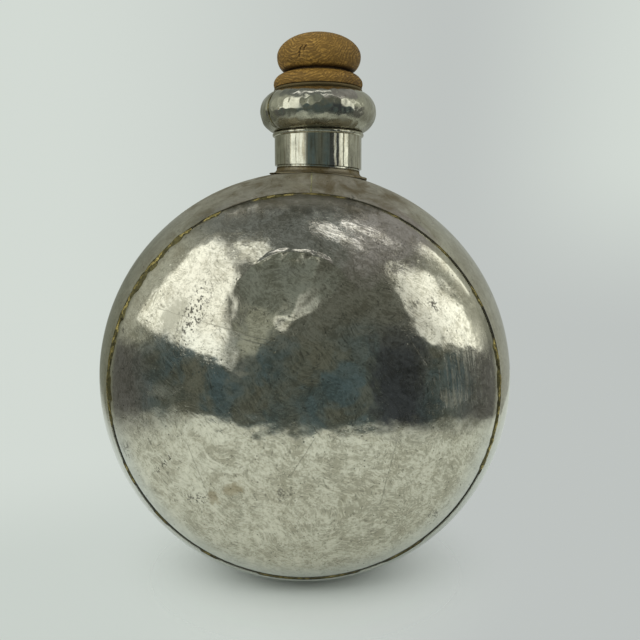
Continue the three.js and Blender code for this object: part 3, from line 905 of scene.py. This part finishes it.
NECK_STEPS = 360
HOLE_STEPS = 96
FOOT_SLANT = math.tan(math.radians(2.7))  # fall of the neck's foot, to the right
FOOT_GAP = 0.7 * MM  # under the foot's tips, where they stand clear of the band
FOOT_TOP = CROWN + 1.7 * MM
FOOT_EDGE = CROWN - 2.4 * MM  # height of the flare's thin edge
FLARE_STEPS = 14
SLEEVE_FOOT = CROWN + 2.5 * MM
SLEEVE_BEAD = 1.35 * MM  # radius of the half-round bead at its top
SLEEVE_CHAMFER = 0.3 * MM
SEAT_DROP = 2.65 * MM  # from the crown to the band's seat in front of and behind the neck


def neck_angles(steps=NECK_STEPS):
    """Angles round the neck, from the front toward +X."""
    return np.linspace(0, 2 * math.pi, steps, endpoint=False)


def turned(profile, turn, swell=0.0):
    """Points of a profile of radius and height turned about the neck's axis."""
    radius = profile[:, :1] + swell + np.zeros_like(turn)
    height = profile[:, 1:] + np.zeros_like(turn)
    return np.stack([NECK_X + radius * np.sin(turn), -radius * np.cos(turn), height], axis=-1)


def closed_outline(*corners, steps=6):
    """A closed outline of straight runs, each cut into equal steps."""
    following = [*corners[1:], corners[0]]
    return np.vstack([line(start, end, steps) for start, end in zip(corners, following)])


def tube_mesh(name, sizes):
    low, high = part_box("neck_tube")
    bore = TUBE_RADIUS - sizes.sheet
    corners = [(bore, low.z), (TUBE_RADIUS, low.z), (TUBE_RADIUS, high.z), (bore, high.z)]
    return ring_mesh(name, turned(closed_outline(*corners), neck_angles()))


def foot_mesh(name, sizes):
    """The saddle: a flared ring that lies on the crowned band and falls with it to the right."""
    radius, bore = half_width("neck_foot", 0), TUBE_RADIUS + FIT
    collar = sleeve_radius(sizes) - sizes.sheet
    bow = np.linspace(0, 1, FLARE_STEPS)[:, None]
    corners = (radius, FOOT_EDGE), (collar, FOOT_EDGE + sizes.sheet / 2), (collar, FOOT_TOP - 0.9 * MM)
    start, pull, end = (np.array(corner) for corner in corners)
    flare = start * (1 - bow) ** 2 + 2 * pull * bow * (1 - bow) + end * bow**2
    under = line((bore, 0), (radius, 0), 10)
    profile = np.vstack([under, [(radius, 0)], flare, [(collar, FOOT_TOP), (bore, FOOT_TOP)]])
    points = turned(profile, neck_angles())
    points[..., 2] -= FOOT_SLANT * (points[..., 0] - NECK_X)
    seat = len(under) + 1
    lying = points[:seat]
    plan = lying[..., 0], lying[..., 1]
    lifted = FOOT_GAP * smooth(np.abs(plan[0] - NECK_X), TUBE_RADIUS - 6 * MM, radius)
    lying[..., 2] = band_height(sizes, *plan) + neck_lift(sizes, *plan) + FIT + lifted
    points[seat:, :, 2] = np.maximum(points[seat:, :, 2], lying[-1, :, 2] + 0.3 * MM)
    return ring_mesh(name, points)


# Upright creases in the sleeve: degrees round the neck from the front, half width and depth in millimetres
SLEEVE_CREASES = (
    (-62, 1.6, 0.2), (-31, 1.2, 0.3), (-8, 2.0, 0.12), (24, 1.2, 0.12), (36, 1.3, 0.2), (47, 0.9, 0.14),
    (61, 1.3, 0.14), (118, 1.5, 0.14), (171, 1.2, 0.12), (214, 1.6, 0.15), (260, 1.0, 0.12),
)


def sleeve_radius(sizes):
    return TUBE_RADIUS + FIT + sizes.sheet


def sleeve_mesh(name, sizes):
    """The sleeve, slightly uneven all round, with a half-round bead at its top."""
    low, high = SLEEVE_FOOT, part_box("neck_sleeve")[1].z
    radius, bore = sleeve_radius(sizes), TUBE_RADIUS + FIT
    bead_foot = high - 2 * SLEEVE_BEAD
    profile = np.vstack([
        line((bore, low), (radius - SLEEVE_CHAMFER, low), 2),
        line((radius, low + SLEEVE_CHAMFER), (radius, bead_foot), 22),
        arc(radius, high - SLEEVE_BEAD, SLEEVE_BEAD, -math.pi / 2, math.pi / 2, 10),
        line((bore, high), (bore, low), 4),
    ])
    turn = neck_angles()
    spot = turned(profile, turn)
    ripple = Ripple(83)
    upright = spot * (1, 1, 0.14)
    swell = 0.12 * MM * ripple(upright, 13 * MM) + 0.10 * MM * ripple(upright, 5.5 * MM)
    for degrees, crease, depth in SLEEVE_CREASES:
        off = off_angle(turn, math.radians(degrees)) * radius + 0.5 * MM * ripple(spot * (0, 0, 1), 8 * MM)
        swell = swell - depth * MM * np.exp(-((off / (crease * MM)) ** 2))
    points = turned(profile, turn, np.where(profile[:, :1] > bore, swell, 0))
    falling = 1 - np.clip((profile[:, 1:] - low) / (bead_foot - low), 0, 1)
    points[..., 2] -= falling * FOOT_SLANT * (points[..., 0] - NECK_X)
    return ring_mesh(name, points)


def rim_mesh(name, sizes):
    low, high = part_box("mouth_rim")
    roll = (high.z - low.z) / 2
    radius, bore = half_width("mouth_rim", 0), TUBE_RADIUS - sizes.sheet
    edge = arc(radius - roll, low.z + roll, roll, -math.pi / 2, math.pi / 2, 14)
    profile = np.vstack([[(bore, low.z)], edge, [(bore, high.z)]])
    return ring_mesh(name, turned(profile, neck_angles()))


BULB_RADIUS = half_width("mouth_bulb", 0)
BULB_EDGE = 27.6 * MM  # outside of the bulb at its upper and lower edges
BULB_JOINT = math.radians(-56)  # round the neck from the front to the bulb's joint
BULB_LAP = 2.8 * MM  # width of the lap beside the joint
BULB_STEP = 0.5 * MM  # height of its edge
BULB_GAP = 0.9 * MM  # from the middle of the joint to either side of it
BULB_STEPS = 320
BULB_POINTS = 44  # up the bulb
BULB_MARKS = 380  # hammer marks


def bulb_outline(sizes, steps):
    """The bulb's sheet: a bulge whose edges are turned in against the tube."""
    low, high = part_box("mouth_bulb")
    radius, bore = BULB_RADIUS, TUBE_RADIUS + FIT
    half, centre_z = (high.z - low.z) / 2, (high.z + low.z) / 2
    bulge = radius - BULB_EDGE
    bow = (half**2 + bulge**2) / (2 * bulge)
    reach, inner = math.asin(half / bow), math.asin((half - sizes.sheet) / (bow - sizes.sheet))
    outer = arc(radius - bow, centre_z, bow, -reach, reach, steps)
    lining = arc(radius - bow, centre_z, bow - sizes.sheet, inner, -inner, steps)
    return np.vstack([
        [(bore, low.z)], outer, [(bore, high.z), (bore, high.z - sizes.sheet)],
        lining, [(bore, low.z + sizes.sheet)],
    ])


def bulb_mesh(name, sizes):
    """The hammered bulb, open at its joint."""
    profile = bulb_outline(sizes, BULB_POINTS)
    half_gap = BULB_GAP / BULB_RADIUS
    turn = np.linspace(BULB_JOINT + half_gap, BULB_JOINT + 2 * math.pi - half_gap, BULB_STEPS)
    points = turned(profile, turn)
    centre_z = middle("mouth_bulb", 2)
    draw = np.random.default_rng(11)
    blow_turn = draw.uniform(0, 2 * math.pi, BULB_MARKS)
    blow_z = draw.uniform(-12, 12, BULB_MARKS) * MM
    blow_size = draw.uniform(1.8, 3.6, BULB_MARKS) * MM
    blow_depth = draw.uniform(0.3, 1.0, BULB_MARKS)
    marks = np.zeros(points.shape[:2])
    for angle, z, size, depth in zip(blow_turn, blow_z, blow_size, blow_depth):
        around = off_angle(turn, angle) * BULB_RADIUS
        away = ((points[..., 2] - centre_z - z) ** 2 + around**2) / size**2
        marks = np.maximum(marks, depth * np.clip(1 - away, 0, None))
    bulging = smooth(profile[:, :1], BULB_EDGE - 1.5 * MM, BULB_EDGE + 1.5 * MM)
    swell = (0.25 * MM * Ripple(19)(points, 15 * MM) - sizes.hammer * marks) * bulging
    lapped = (BULB_JOINT + 2 * math.pi - turn) * BULB_RADIUS  # back from the joint, over the lower sheet
    swell = swell - BULB_STEP * (1 - smooth(lapped, BULB_LAP - 0.6 * MM, BULB_LAP)) * bulging
    return ring_mesh(name, turned(profile, turn, swell), closed=False)


def bulb_joint_mesh(name, sizes):
    """Braze in the bulb's own joint."""
    profile = bulb_outline(sizes, BULB_POINTS)
    ripple = Ripple(23)
    across = np.linspace(-1, 1, 7)
    spot = on_plane(profile[:, 0], profile[:, 1])
    width = 0.6 * MM * (1 + 0.4 * ripple(spot, 5 * MM))[:, None]
    turn = BULB_JOINT + width * across / BULB_RADIUS
    outside = (np.arange(len(profile)) <= len(profile) // 2 - 1)[:, None]
    proud = 0.18 * MM * (1 - across**2) * (1 + 0.8 * ripple(spot, 3 * MM)[:, None])
    mesh = ring_mesh(name, turned(profile, turn, np.where(outside, proud - 0.15 * MM, 0)), closed=False)
    low = middle("mouth_bulb", 2) - 4 * MM
    full = 0.35 + 0.5 * smooth(low - profile[:, 1:], -6 * MM, 4 * MM) + np.zeros_like(across)
    keep_values(mesh, "fullness", full)
    keep_values(mesh, "across", np.broadcast_to((across + 1) / 2, full.shape))
    return mesh


# Stopper

STOPPER_STEPS = 400
DISC_HEIGHT = 8.8 * MM
DISC_EDGE = 2.2 * MM  # height of the disc's widest line
DISC_CHAMFER = 0.5 * MM
GROOVE_RADIUS = 19 * MM
GROOVE_HEIGHT = 1 * MM
KNOB_RADIUS = 25.9 * MM
KNOB_WAIST = 9.2 * MM  # from the knob's underside to its widest line
KNOB_SHIFT = 0.5 * MM  # of the knob's axis, to the right of the disc's
PLUG_TAPER = 2.4 * MM
PLUG_CHAMFER = 1.5 * MM
WOOD_RING = 0.23 * MM  # of growth to a radian of the rings' waves
WOOD_KNOT = (NECK_X - 9 * MM, -22 * MM, CROWN + 86 * MM)  # round which the grain curls
CRACK_TURN = math.radians(-25)  # round the neck from the front to the drying crack
CRACK_SLITS = mm(0, 0, 4.6), mm(2.4, 1.5, 3.4)  # how far each of its slits lies round and up, and its reach
CRACK_WIDTH = 0.45 * MM
CHIP_TURN = math.radians(78)  # round the neck to the chip in the disc
CHIP_DEPTH = 1.1 * MM
TOOL_MARK = 0.35 * MM  # of height to a radian of the turning tool's waves


def stopper_profile(sizes):
    """Plug, disc, groove and knob, from the axis below to the axis above."""
    low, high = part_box("stopper")
    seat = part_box("mouth_rim")[1].z + FIT
    radius = half_width("stopper", 0)
    plug = TUBE_RADIUS - sizes.sheet - FIT
    tip = plug - PLUG_TAPER
    knob_foot = seat + DISC_HEIGHT + GROOVE_HEIGHT
    knob_middle = knob_foot + KNOB_WAIST
    right, up = 0, math.pi / 2
    return np.vstack([
        line((0, low.z), (tip - PLUG_CHAMFER, low.z), 8),
        line((tip - PLUG_CHAMFER, low.z), (tip, low.z + PLUG_CHAMFER), 3),
        line((tip, low.z + PLUG_CHAMFER), (plug, seat), 24),
        line((plug, seat), (radius - DISC_CHAMFER, seat), 6),
        line((radius - DISC_CHAMFER, seat), (radius, seat + DISC_EDGE), 5),
        arc(GROOVE_RADIUS, seat + DISC_EDGE, radius - GROOVE_RADIUS, right, up, 22, DISC_HEIGHT - DISC_EDGE),
        arc(GROOVE_RADIUS, knob_middle, KNOB_RADIUS - GROOVE_RADIUS, -up, right, 28, KNOB_WAIST)[:-1],
        arc(0, knob_middle, KNOB_RADIUS, right, up, 60, high.z - knob_middle),
    ])


def stopper_mesh(name, sizes):
    """The stopper, a little out of round, with tool marks, a crack in its knob and a chip in its disc."""
    profile = stopper_profile(sizes)
    turn = neck_angles(STOPPER_STEPS)
    points = turned(profile, turn)
    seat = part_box("mouth_rim")[1].z + FIT
    ripple = Ripple(5)
    height = points[..., 2] - seat
    knob = smooth(height, DISC_HEIGHT, DISC_HEIGHT + 3 * MM)
    above = smooth(height, -0.2 * MM, 0.6 * MM)
    rings = np.sin(height / TOOL_MARK) * ripple(points * (0.1, 0.1, 1), 4 * MM)
    swell = 0.22 * MM * ripple(points, 17 * MM) + 0.05 * MM * ripple(points, 5 * MM) + 0.03 * MM * rings
    swell = above * swell

    crack_z = DISC_HEIGHT + GROOVE_HEIGHT + KNOB_WAIST - 1 * MM
    wander = CRACK_TURN + 0.12 * ripple(points * (0, 0, 1), 4 * MM, 2) + 12 * (height - crack_z)
    crack_away = off_angle(turn, wander) * KNOB_RADIUS
    crack = np.zeros(points.shape[:2])
    for off, rise, reach in CRACK_SLITS:
        slit = np.exp(-(((crack_away - off) / CRACK_WIDTH) ** 2))
        crack = np.maximum(crack, slit * smooth(reach - np.abs(height - crack_z - rise), 0, 3 * MM) * knob)
    chip_away = off_angle(turn, CHIP_TURN) * half_width("stopper", 0)
    chip = smooth(2.2 * MM - np.abs(chip_away), 0, 1.4 * MM) * smooth(height, 0, 0.5 * MM)
    chip = chip * smooth(DISC_HEIGHT * 0.75 - height, 0, 2 * MM)
    swell = swell - sizes.crack * crack - CHIP_DEPTH * chip * (1 + 0.4 * ripple(points, 2 * MM))

    # Grime in the crack, grime and painted shade in the groove, and painted shade toward the right side
    away = np.abs(height - DISC_HEIGHT - GROOVE_HEIGHT / 2)
    right_side_shade = smooth(points[..., 0] - NECK_X, 6 * MM, 26 * MM)
    groove_grime_and_shade = 1 - smooth(away, 0.3 * MM, 2.4 * MM)
    grime = np.clip(1.1 * crack + groove_grime_and_shade + 0.35 * right_side_shade * (1 - knob * 0.5), 0, 1)
    points = turned(profile, turn, np.where(profile[:, :1] > 1 * MM, swell, 0))
    points[..., 0] += KNOB_SHIFT * knob
    mesh = pole_mesh(name, points)
    ends = [grime[0].mean(), grime[-1].mean()]
    keep_values(mesh, "grime", np.concatenate([grime[1:-1].ravel(), ends]))
    return mesh


# Operators

def settings(context):
    return context.scene.flask_sizes, context.scene.flask_colours


class FLASK_OT_domes(bpy.types.Operator):
    """Builds the two domes with their waves and dents"""

    bl_idname = "flask.domes"
    bl_label = "Domes"

    def execute(self, context):
        sizes, colours = settings(context)

        def front_relief(x, h):
            return beaten(x, h, sizes, 41, FRONT_DENTS) + struck(x, h, sizes)

        def rear_relief(x, h):
            return beaten(x, h, sizes, 67, ())

        front = dome_mesh("front_dome_shell", sizes, -1, front_relief, *FRONT_STEPS)
        rear = dome_mesh("rear_dome_shell", sizes, 1, rear_relief, *REAR_STEPS)
        for node, mesh, patches in (("front_dome", front, FRONT_WEAR), ("rear_dome", rear, REAR_WEAR)):
            scratches = FRONT_SCRATCHES if node == "front_dome" else ()
            finish = body_metal("worn_" + node, colours, UPRIGHT_BRUSHING, patches, scratches)
            dress(add_object(mesh, finish), node)
        return {"FINISHED"}


class FLASK_OT_rim_band(bpy.types.Operator):
    """Builds the rim band and cuts the hole for the neck"""

    bl_idname = "flask.rim_band"
    bl_label = "Rim band"

    def execute(self, context):
        sizes, colours = settings(context)
        finish = body_metal("worn_band_metal", colours, ROUND_BRUSHING)
        hoop = add_object(band_mesh("rim_band_hoop", sizes))
        core, bore = 0.1 * MM, TUBE_RADIUS + FIT
        low, high = CROWN - 40 * MM, CROWN + 20 * MM
        hole = closed_outline((core, low), (bore, low), (bore, high), (core, high), steps=1)
        cut_away(hoop, add_object(ring_mesh("neck_hole", turned(hole, neck_angles(HOLE_STEPS)))))
        hoop.data.materials.append(finish)
        dress(hoop, "rim_band")
        return {"FINISHED"}


class FLASK_OT_braze(bpy.types.Operator):
    """Runs the braze into both seams and into the joints of the band and the bulb"""

    bl_idname = "flask.braze"
    bl_label = "Braze"

    def execute(self, context):
        sizes, colours = settings(context)
        finish = braze_metal("olive_braze", colours)
        solder = solder_metal("pale_solder", colours)
        for end, side, seed in (("front", -1, 13), ("rear", 1, 29)):
            bead = add_object(bead_mesh(end + "_seam_bead", sizes, side, seed), finish)
            dress(bead, end + "_seam_braze")
            joint = add_object(joint_mesh("band_joint_" + end, sizes, side), solder)
            dress(joint, "band_joint_braze_" + end)
        strip = add_object(bulb_joint_mesh("bulb_joint_strip", sizes), finish)
        dress(strip, "bulb_joint_braze")
        return {"FINISHED"}


class FLASK_OT_neck(bpy.types.Operator):
    """Builds the tube, foot, sleeve, bulb and rim of the neck"""

    bl_idname = "flask.neck"
    bl_label = "Neck"

    def execute(self, context):
        sizes, colours = settings(context)
        bulb_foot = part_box("mouth_bulb")[0].z
        # Heights over which the painted shade under the bulb fades out
        bulb_shade = bulb_foot + 4 * MM, bulb_foot + 13 * MM
        bright = neck_metal("bright_neck_metal", colours, 1.0, 0.16)
        hammered = neck_metal("hammered_bulb_metal", colours, 0.0, 0.25, bulb_shade)
        # The rim's heavy film is tarnish and painted shade under the stopper's disc
        filmed = body_metal("filmed_and_shaded_rim_metal", colours, ROUND_BRUSHING, film=0.75)
        worn = body_metal("worn_foot_metal", colours, ROUND_BRUSHING, film=0.45)
        pieces = (
            ("neck_tube", "wall", tube_mesh, bright, "neck_metal"),
            ("neck_foot", "saddle", foot_mesh, worn, "body_metal"),
            ("neck_sleeve", "wall", sleeve_mesh, bright, "neck_metal"),
            ("mouth_bulb", "shell", bulb_mesh, hammered, "neck_metal"),
            ("mouth_rim", "roll", rim_mesh, filmed, "neck_metal"),
        )
        for node, form, build, finish, slot in pieces:
            dress(add_object(build(f"{node}_{form}", sizes), finish), node)
        return {"FINISHED"}


class FLASK_OT_stopper(bpy.types.Operator):
    """Turns the wooden stopper"""

    bl_idname = "flask.stopper"
    bl_label = "Stopper"

    def execute(self, context):
        sizes, colours = settings(context)
        finish = turned_wood("old_turned_wood", colours)
        dress(add_object(stopper_mesh("stopper_wood", sizes), finish), "stopper", "stopper")
        return {"FINISHED"}


# Stage

# A softbox: one corner and the two corners next to it, in metres. From the side between corner and top,
# its radiance rises from a dim share to the full over fade, and its foot and top fade out over soft.
Panel = namedtuple("Panel", "name corner foot top radiance tint dim fade soft")
PANEL_LEAN = 0.2  # by which the dim side narrows toward a panel's top

COOL, WARM = (0.95, 0.96, 1), (0.97, 1, 0.97)
PANELS = (
    Panel("left_panel", (-0.37, -0.705, 0.165), (-0.546, -0.119, 0.2725), (-1.05, -1.245, 1.96),
          1.17, WARM, 0.16, 0.30, (0.01, 0.45)),
    Panel("left_lobe", (-0.31, -0.957, 1.185), (-0.726, -0.927, 1.362), (-0.297, -0.568, 1.147),
          1.2, WARM, 0.5, 0.7, (0.01, 0.15)),
    Panel("right_panel", (0.444, -0.453, 0.285), (0.979, -0.135, 0.188), (1.132, -1.037, 1.575),
          1.22, WARM, 0.5, 0.5, (0.02, 0.2)),
    Panel("front_strip", (0.18, -1.2, 1.03), (-0.218, -1.374, 0.648), (0.05, -1.12, 1.135),
          0.6, WARM, 0.1, 1.0, (0.3, 0.5)),
    Panel("side_strip", (0.759, -0.137, 0.439), (1.38, -0.485, 1.54), (0.783, -0.005, 0.468),
          1.1, WARM, 0.7, 0.5, (0.2, 0.2)),
    Panel("near_strip", (0.556, -0.733, 1.282), (0.06, -0.584, 1.437), (0.569, -0.685, 1.30),
          2.0, COOL, 0.4, 0.6, (0.2, 0.2)),
    Panel("far_strip", (0.805, -0.518, 1.191), (0.294, -0.521, 1.427), (0.805, -0.472, 1.209),
          2.0, COOL, 0.5, 0.7, (0.2, 0.2)),
    Panel("overhead", (0.4, -0.22, 1.55), (-0.7, -0.22, 1.55), (0.4, -0.06, 1.55),
          1.4, COOL, 0.6, 0.5, (0.1, 0.1)),
)
SKY_PANEL = Panel("sky", (-1.15, -1.75, 1.2), (0.45, -1.75, 1.2), (-1.15, -0.45, 2.1),
                  1.8, (1, 1, 1), 1, 1, (0.1, 0.1))
TABLE_HALF = 1.3
TABLE_GRAIN = (0.6, 0.64, 0.6)
TABLE_FADE = 0.02, 0.15  # where the table top melts into the backdrop, from the flask's middle
TABLE_SOFT = 0.3, 0.06  # widths over which the left and near edges of its lit part fade
MIRRORED_TABLE = (-0.53, 0.421), (-0.38, 0.7)  # that lit part, which the metal mirrors, in X and Y
TABLE_CUT = (0.775, -0.632, 0), 0.385  # direction and distance of the slanting edge on its right
CUT_SOFT = mm(120, 70)  # over which it fades on this side of that edge and beyond it

# The room that the metal mirrors
SHADE_EDGE = (0.718, -0.364, -0.594)  # across the slanting edge between its grey and its dark part
GREY_EDGE = (0.866, -0.5, 0)  # across the upright edge between that grey part and the left softbox
ROOM_GREY = (0.12, 0.13, 0.125), (0.34, 0.365, 0.315), (0.20, 0.225, 0.205)  # the grey part, going up
ROOM_COOL, ROOM_WARM = (0.074, 0.114, 0.134), (0.115, 0.125, 0.105)  # drifts low in the dark part
ROOM_NOOK = (0.042, 0.05, 0.06)  # on the right of it
ROOM_HIGH = (0.138, 0.148, 0.132)  # high up in it
ROOM_SIDES = (0.12, 0.125, 0.125), (0.46, 0.485, 0.43)  # low and high at both sides
ROOM_BEHIND = (0.35, 0.37, 0.335), (0.205, 0.22, 0.18)  # behind the flask, on the right and on the left
ROOM_TOP, ROOM_TOP_RIGHT = (0.178, 0.197, 0.20), (0.30, 0.30, 0.315)
ROOM_FILL = (0.68, 0.7, 0.68)  # what matt surfaces get from all sides
WALL_FOOT = (0.54, 0.59, 0.55)  # of the backdrop, low on the left


def add_panel(panel):
    """A softbox of a given radiance that faces the flask."""
    corner, foot, top = Vector(panel.corner), Vector(panel.foot), Vector(panel.top)
    across, up = foot - corner, top - corner
    centre = corner + (across + up) / 2
    light = bpy.data.lights.new(panel.name, "AREA")
    light.shape = "RECTANGLE"
    light.size, light.size_y = across.length, up.length
    light.energy = panel.radiance * math.pi * across.length * up.length
    lamp = bpy.data.objects.new(panel.name, light)
    bpy.context.scene.collection.objects.link(lamp)
    side = across.normalized()
    out = side.cross(up).normalized()
    upside_down = out.dot(centre - Vector((0, 0, BODY_HEIGHT))) < 0
    if upside_down:
        out.negate()
    facing = Matrix((side, out.cross(side), out)).transposed().to_4x4()
    lamp.matrix_world = Matrix.Translation(centre) @ facing

    finish = Finish(light)
    spot = finish.node("NewGeometry", out="Parametric")
    share, rise = (finish.axis(name, spot) for name in "XY")
    if upside_down:
        rise = 1 - rise
    share = share + rise * PANEL_LEAN
    dimmed = [panel.dim * part for part in panel.tint]
    tone = finish.mix(share.ramp(0, panel.fade), dimmed, panel.tint)
    below, above = panel.soft
    tone = finish.mix(rise.ramp(0, below) * (1 - rise.ramp(1 - above, 1)), (0, 0, 0), tone)
    glow = finish.node("Emission", None, {"Color": tone, "Strength": 1.0})
    finish.node("OutputLight", None, {"Surface": glow})
    return lamp


def add_camera(studio):
    view = bpy.data.cameras.new("camera")
    view.lens = studio.lens
    camera = bpy.data.objects.new("camera", view)
    camera.location = studio.eye
    camera.rotation_euler = (math.pi / 2 - studio.tilt, 0, 0)
    bpy.context.scene.collection.objects.link(camera)
    bpy.context.scene.camera = camera


def table_finish(studio):
    """Pale matt table top. To the eye it melts into the backdrop, and the metal mirrors its lit part."""
    finish = Finish.material("pale_table")
    x, y = (finish.axis(name) for name in "XY")
    grain = finish.noise(90 * MM, 3).ramp(0.2, 0.8)
    tone = finish.mix(grain * 0.05, studio.floor, TABLE_GRAIN)
    matt = finish.node("BsdfPrincipled", None, {"Base Color": tone, "Roughness": 0.7})
    clear = finish.node("BsdfTransparent")
    melted = finish.distance(finish.place(), (1, 1, 0)).ramp(*TABLE_FADE) * 0.995
    lit = 1.0
    for across, (low, high), soft in zip((x, y), MIRRORED_TABLE, TABLE_SOFT):
        lit = across.ramp(low, low + soft) * (1 - across.ramp(high - 4 * MM, high + 4 * MM)) * lit
    (direction, distance), (before, beyond) = TABLE_CUT, CUT_SOFT
    lit = lit * (1 - finish.along(direction).ramp(distance - before, distance + beyond))
    mirrored = finish.node("LightPath", out="Is Glossy Ray")
    gone = melted + (1 - lit - melted) * mirrored
    surface = finish.node("MixShader", None, {0: gone, 1: matt, 2: clear})
    finish.node("OutputMaterial", None, {"Surface": surface})
    return finish.owner


def room(studio):
    """The backdrop for the camera, and for reflections a pale room that is dark in front."""
    world = bpy.data.worlds.new("room")
    bpy.context.scene.world = world
    finish = Finish(world)
    toward = finish.node("TexCoord", out="Generated")
    x, y, z = (finish.axis(name, toward) for name in "XYZ")
    wall = finish.coats(
        studio.wall_left,
        (x.ramp(-0.35, 0.2), studio.wall_right),
        (x.ramp(0.14, 0.42) * z.ramp(-0.14, 0.1), studio.wall_left),
        ((1 - z.ramp(-0.4, -0.28)) * (1 - x.ramp(-0.22, 0.02)) * 0.6, WALL_FOOT),
    )
    dark = finish.coats(
        ROOM_COOL,
        (finish.noise(0.3, 3, 0.55, 0.4, toward).ramp(0.38, 0.66), ROOM_WARM),
        (x.ramp(0.42, 0.56) * (1 - x.ramp(0.72, 0.84)), ROOM_NOOK),
        (z.ramp(0.05, 0.5), ROOM_HIGH),
    )
    low_grey, pale_grey, high_grey = ROOM_GREY
    pale = finish.coats(low_grey, (z.ramp(0.0, 0.22), pale_grey), (z.ramp(0.42, 0.56), high_grey))
    grey = 1 - finish.along(SHADE_EDGE, toward).ramp(-0.07, 0.02)
    grey = grey * finish.along(GREY_EDGE, toward).ramp(-0.05, 0.05)
    left = (1 - x.ramp(-0.5, -0.1)) * (1 - 0.6 * z.ramp(0.05, 0.5))
    mirrored = finish.coats(
        finish.mix(z.ramp(0.03, 0.16), *ROOM_SIDES),
        ((0 - y).ramp(0.1, 0.42), finish.mix(grey, dark, pale)),
        (y.ramp(-0.05, 0.4), finish.mix(left, *ROOM_BEHIND)),
        (z.ramp(0.62, 0.86), ROOM_TOP),
        (x.ramp(0.18, 0.42) * z.ramp(0.58, 0.74), ROOM_TOP_RIGHT),
    )
    to_camera, to_metal = (finish.node("LightPath", out=f"Is {kind} Ray") for kind in ("Camera", "Glossy"))
    seen = finish.mix(to_camera, finish.mix(to_metal, ROOM_FILL, mirrored), wall)
    background = finish.node("Background", None, {"Color": seen, "Strength": 1.0})
    finish.node("OutputWorld", None, {"Surface": background})


class FLASK_OT_stage(bpy.types.Operator):
    """Sets up the table, the room, the lamps and the camera"""

    bl_idname = "flask.stage"
    bl_label = "Stage"

    def execute(self, context):
        studio = context.scene.flask_studio
        add_camera(studio)
        for panel in PANELS:
            add_panel(panel)
        add_panel(SKY_PANEL).visible_glossy = False
        corners = TABLE_HALF * np.array([(-1, -1, 0), (1, -1, 0), (1, 1, 0), (-1, 1, 0)])
        table = add_object(finish_mesh("table_top", corners, [[0, 1, 2, 3]]), table_finish(studio))
        room(studio)
        context.scene.view_settings.view_transform = "Standard"
        return {"FINISHED"}


class FLASK_PT_panel(bpy.types.Panel):
    """Lists the flask's pieces, sizes and colours"""

    bl_idname = "FLASK_PT_panel"
    bl_label = "Round metal flask"
    bl_space_type = "VIEW_3D"
    bl_region_type = "UI"
    bl_category = "Flask"

    def draw(self, context):
        for operator in PIECE_OPERATORS:
            self.layout.operator(operator.bl_idname)
        for group in SETTINGS:
            settings = getattr(context.scene, group)
            column = self.layout.column()
            for name in settings.bl_rna.properties.keys():
                if name not in ("rna_type", "name"):
                    column.prop(settings, name)


PIECE_OPERATORS = (
    FLASK_OT_domes, FLASK_OT_rim_band, FLASK_OT_braze, FLASK_OT_neck, FLASK_OT_stopper, FLASK_OT_stage,
)
SETTINGS = {"flask_sizes": FlaskSizes, "flask_colours": FlaskColours, "flask_studio": StudioSettings}
CLASSES = (*SETTINGS.values(), *PIECE_OPERATORS, FLASK_PT_panel)


def register():
    for each in CLASSES:
        bpy.utils.register_class(each)
    for name, group in SETTINGS.items():
        setattr(bpy.types.Scene, name, PointerProperty(type=group))


def unregister():
    for name in SETTINGS:
        delattr(bpy.types.Scene, name)
    for each in reversed(CLASSES):
        bpy.utils.unregister_class(each)


def main():
    register()
    bpy.ops.flask.domes()
    bpy.ops.flask.rim_band()
    bpy.ops.flask.braze()
    bpy.ops.flask.neck()
    bpy.ops.flask.stopper()
    bpy.ops.flask.stage()


if __name__ == "__main__":
    main()
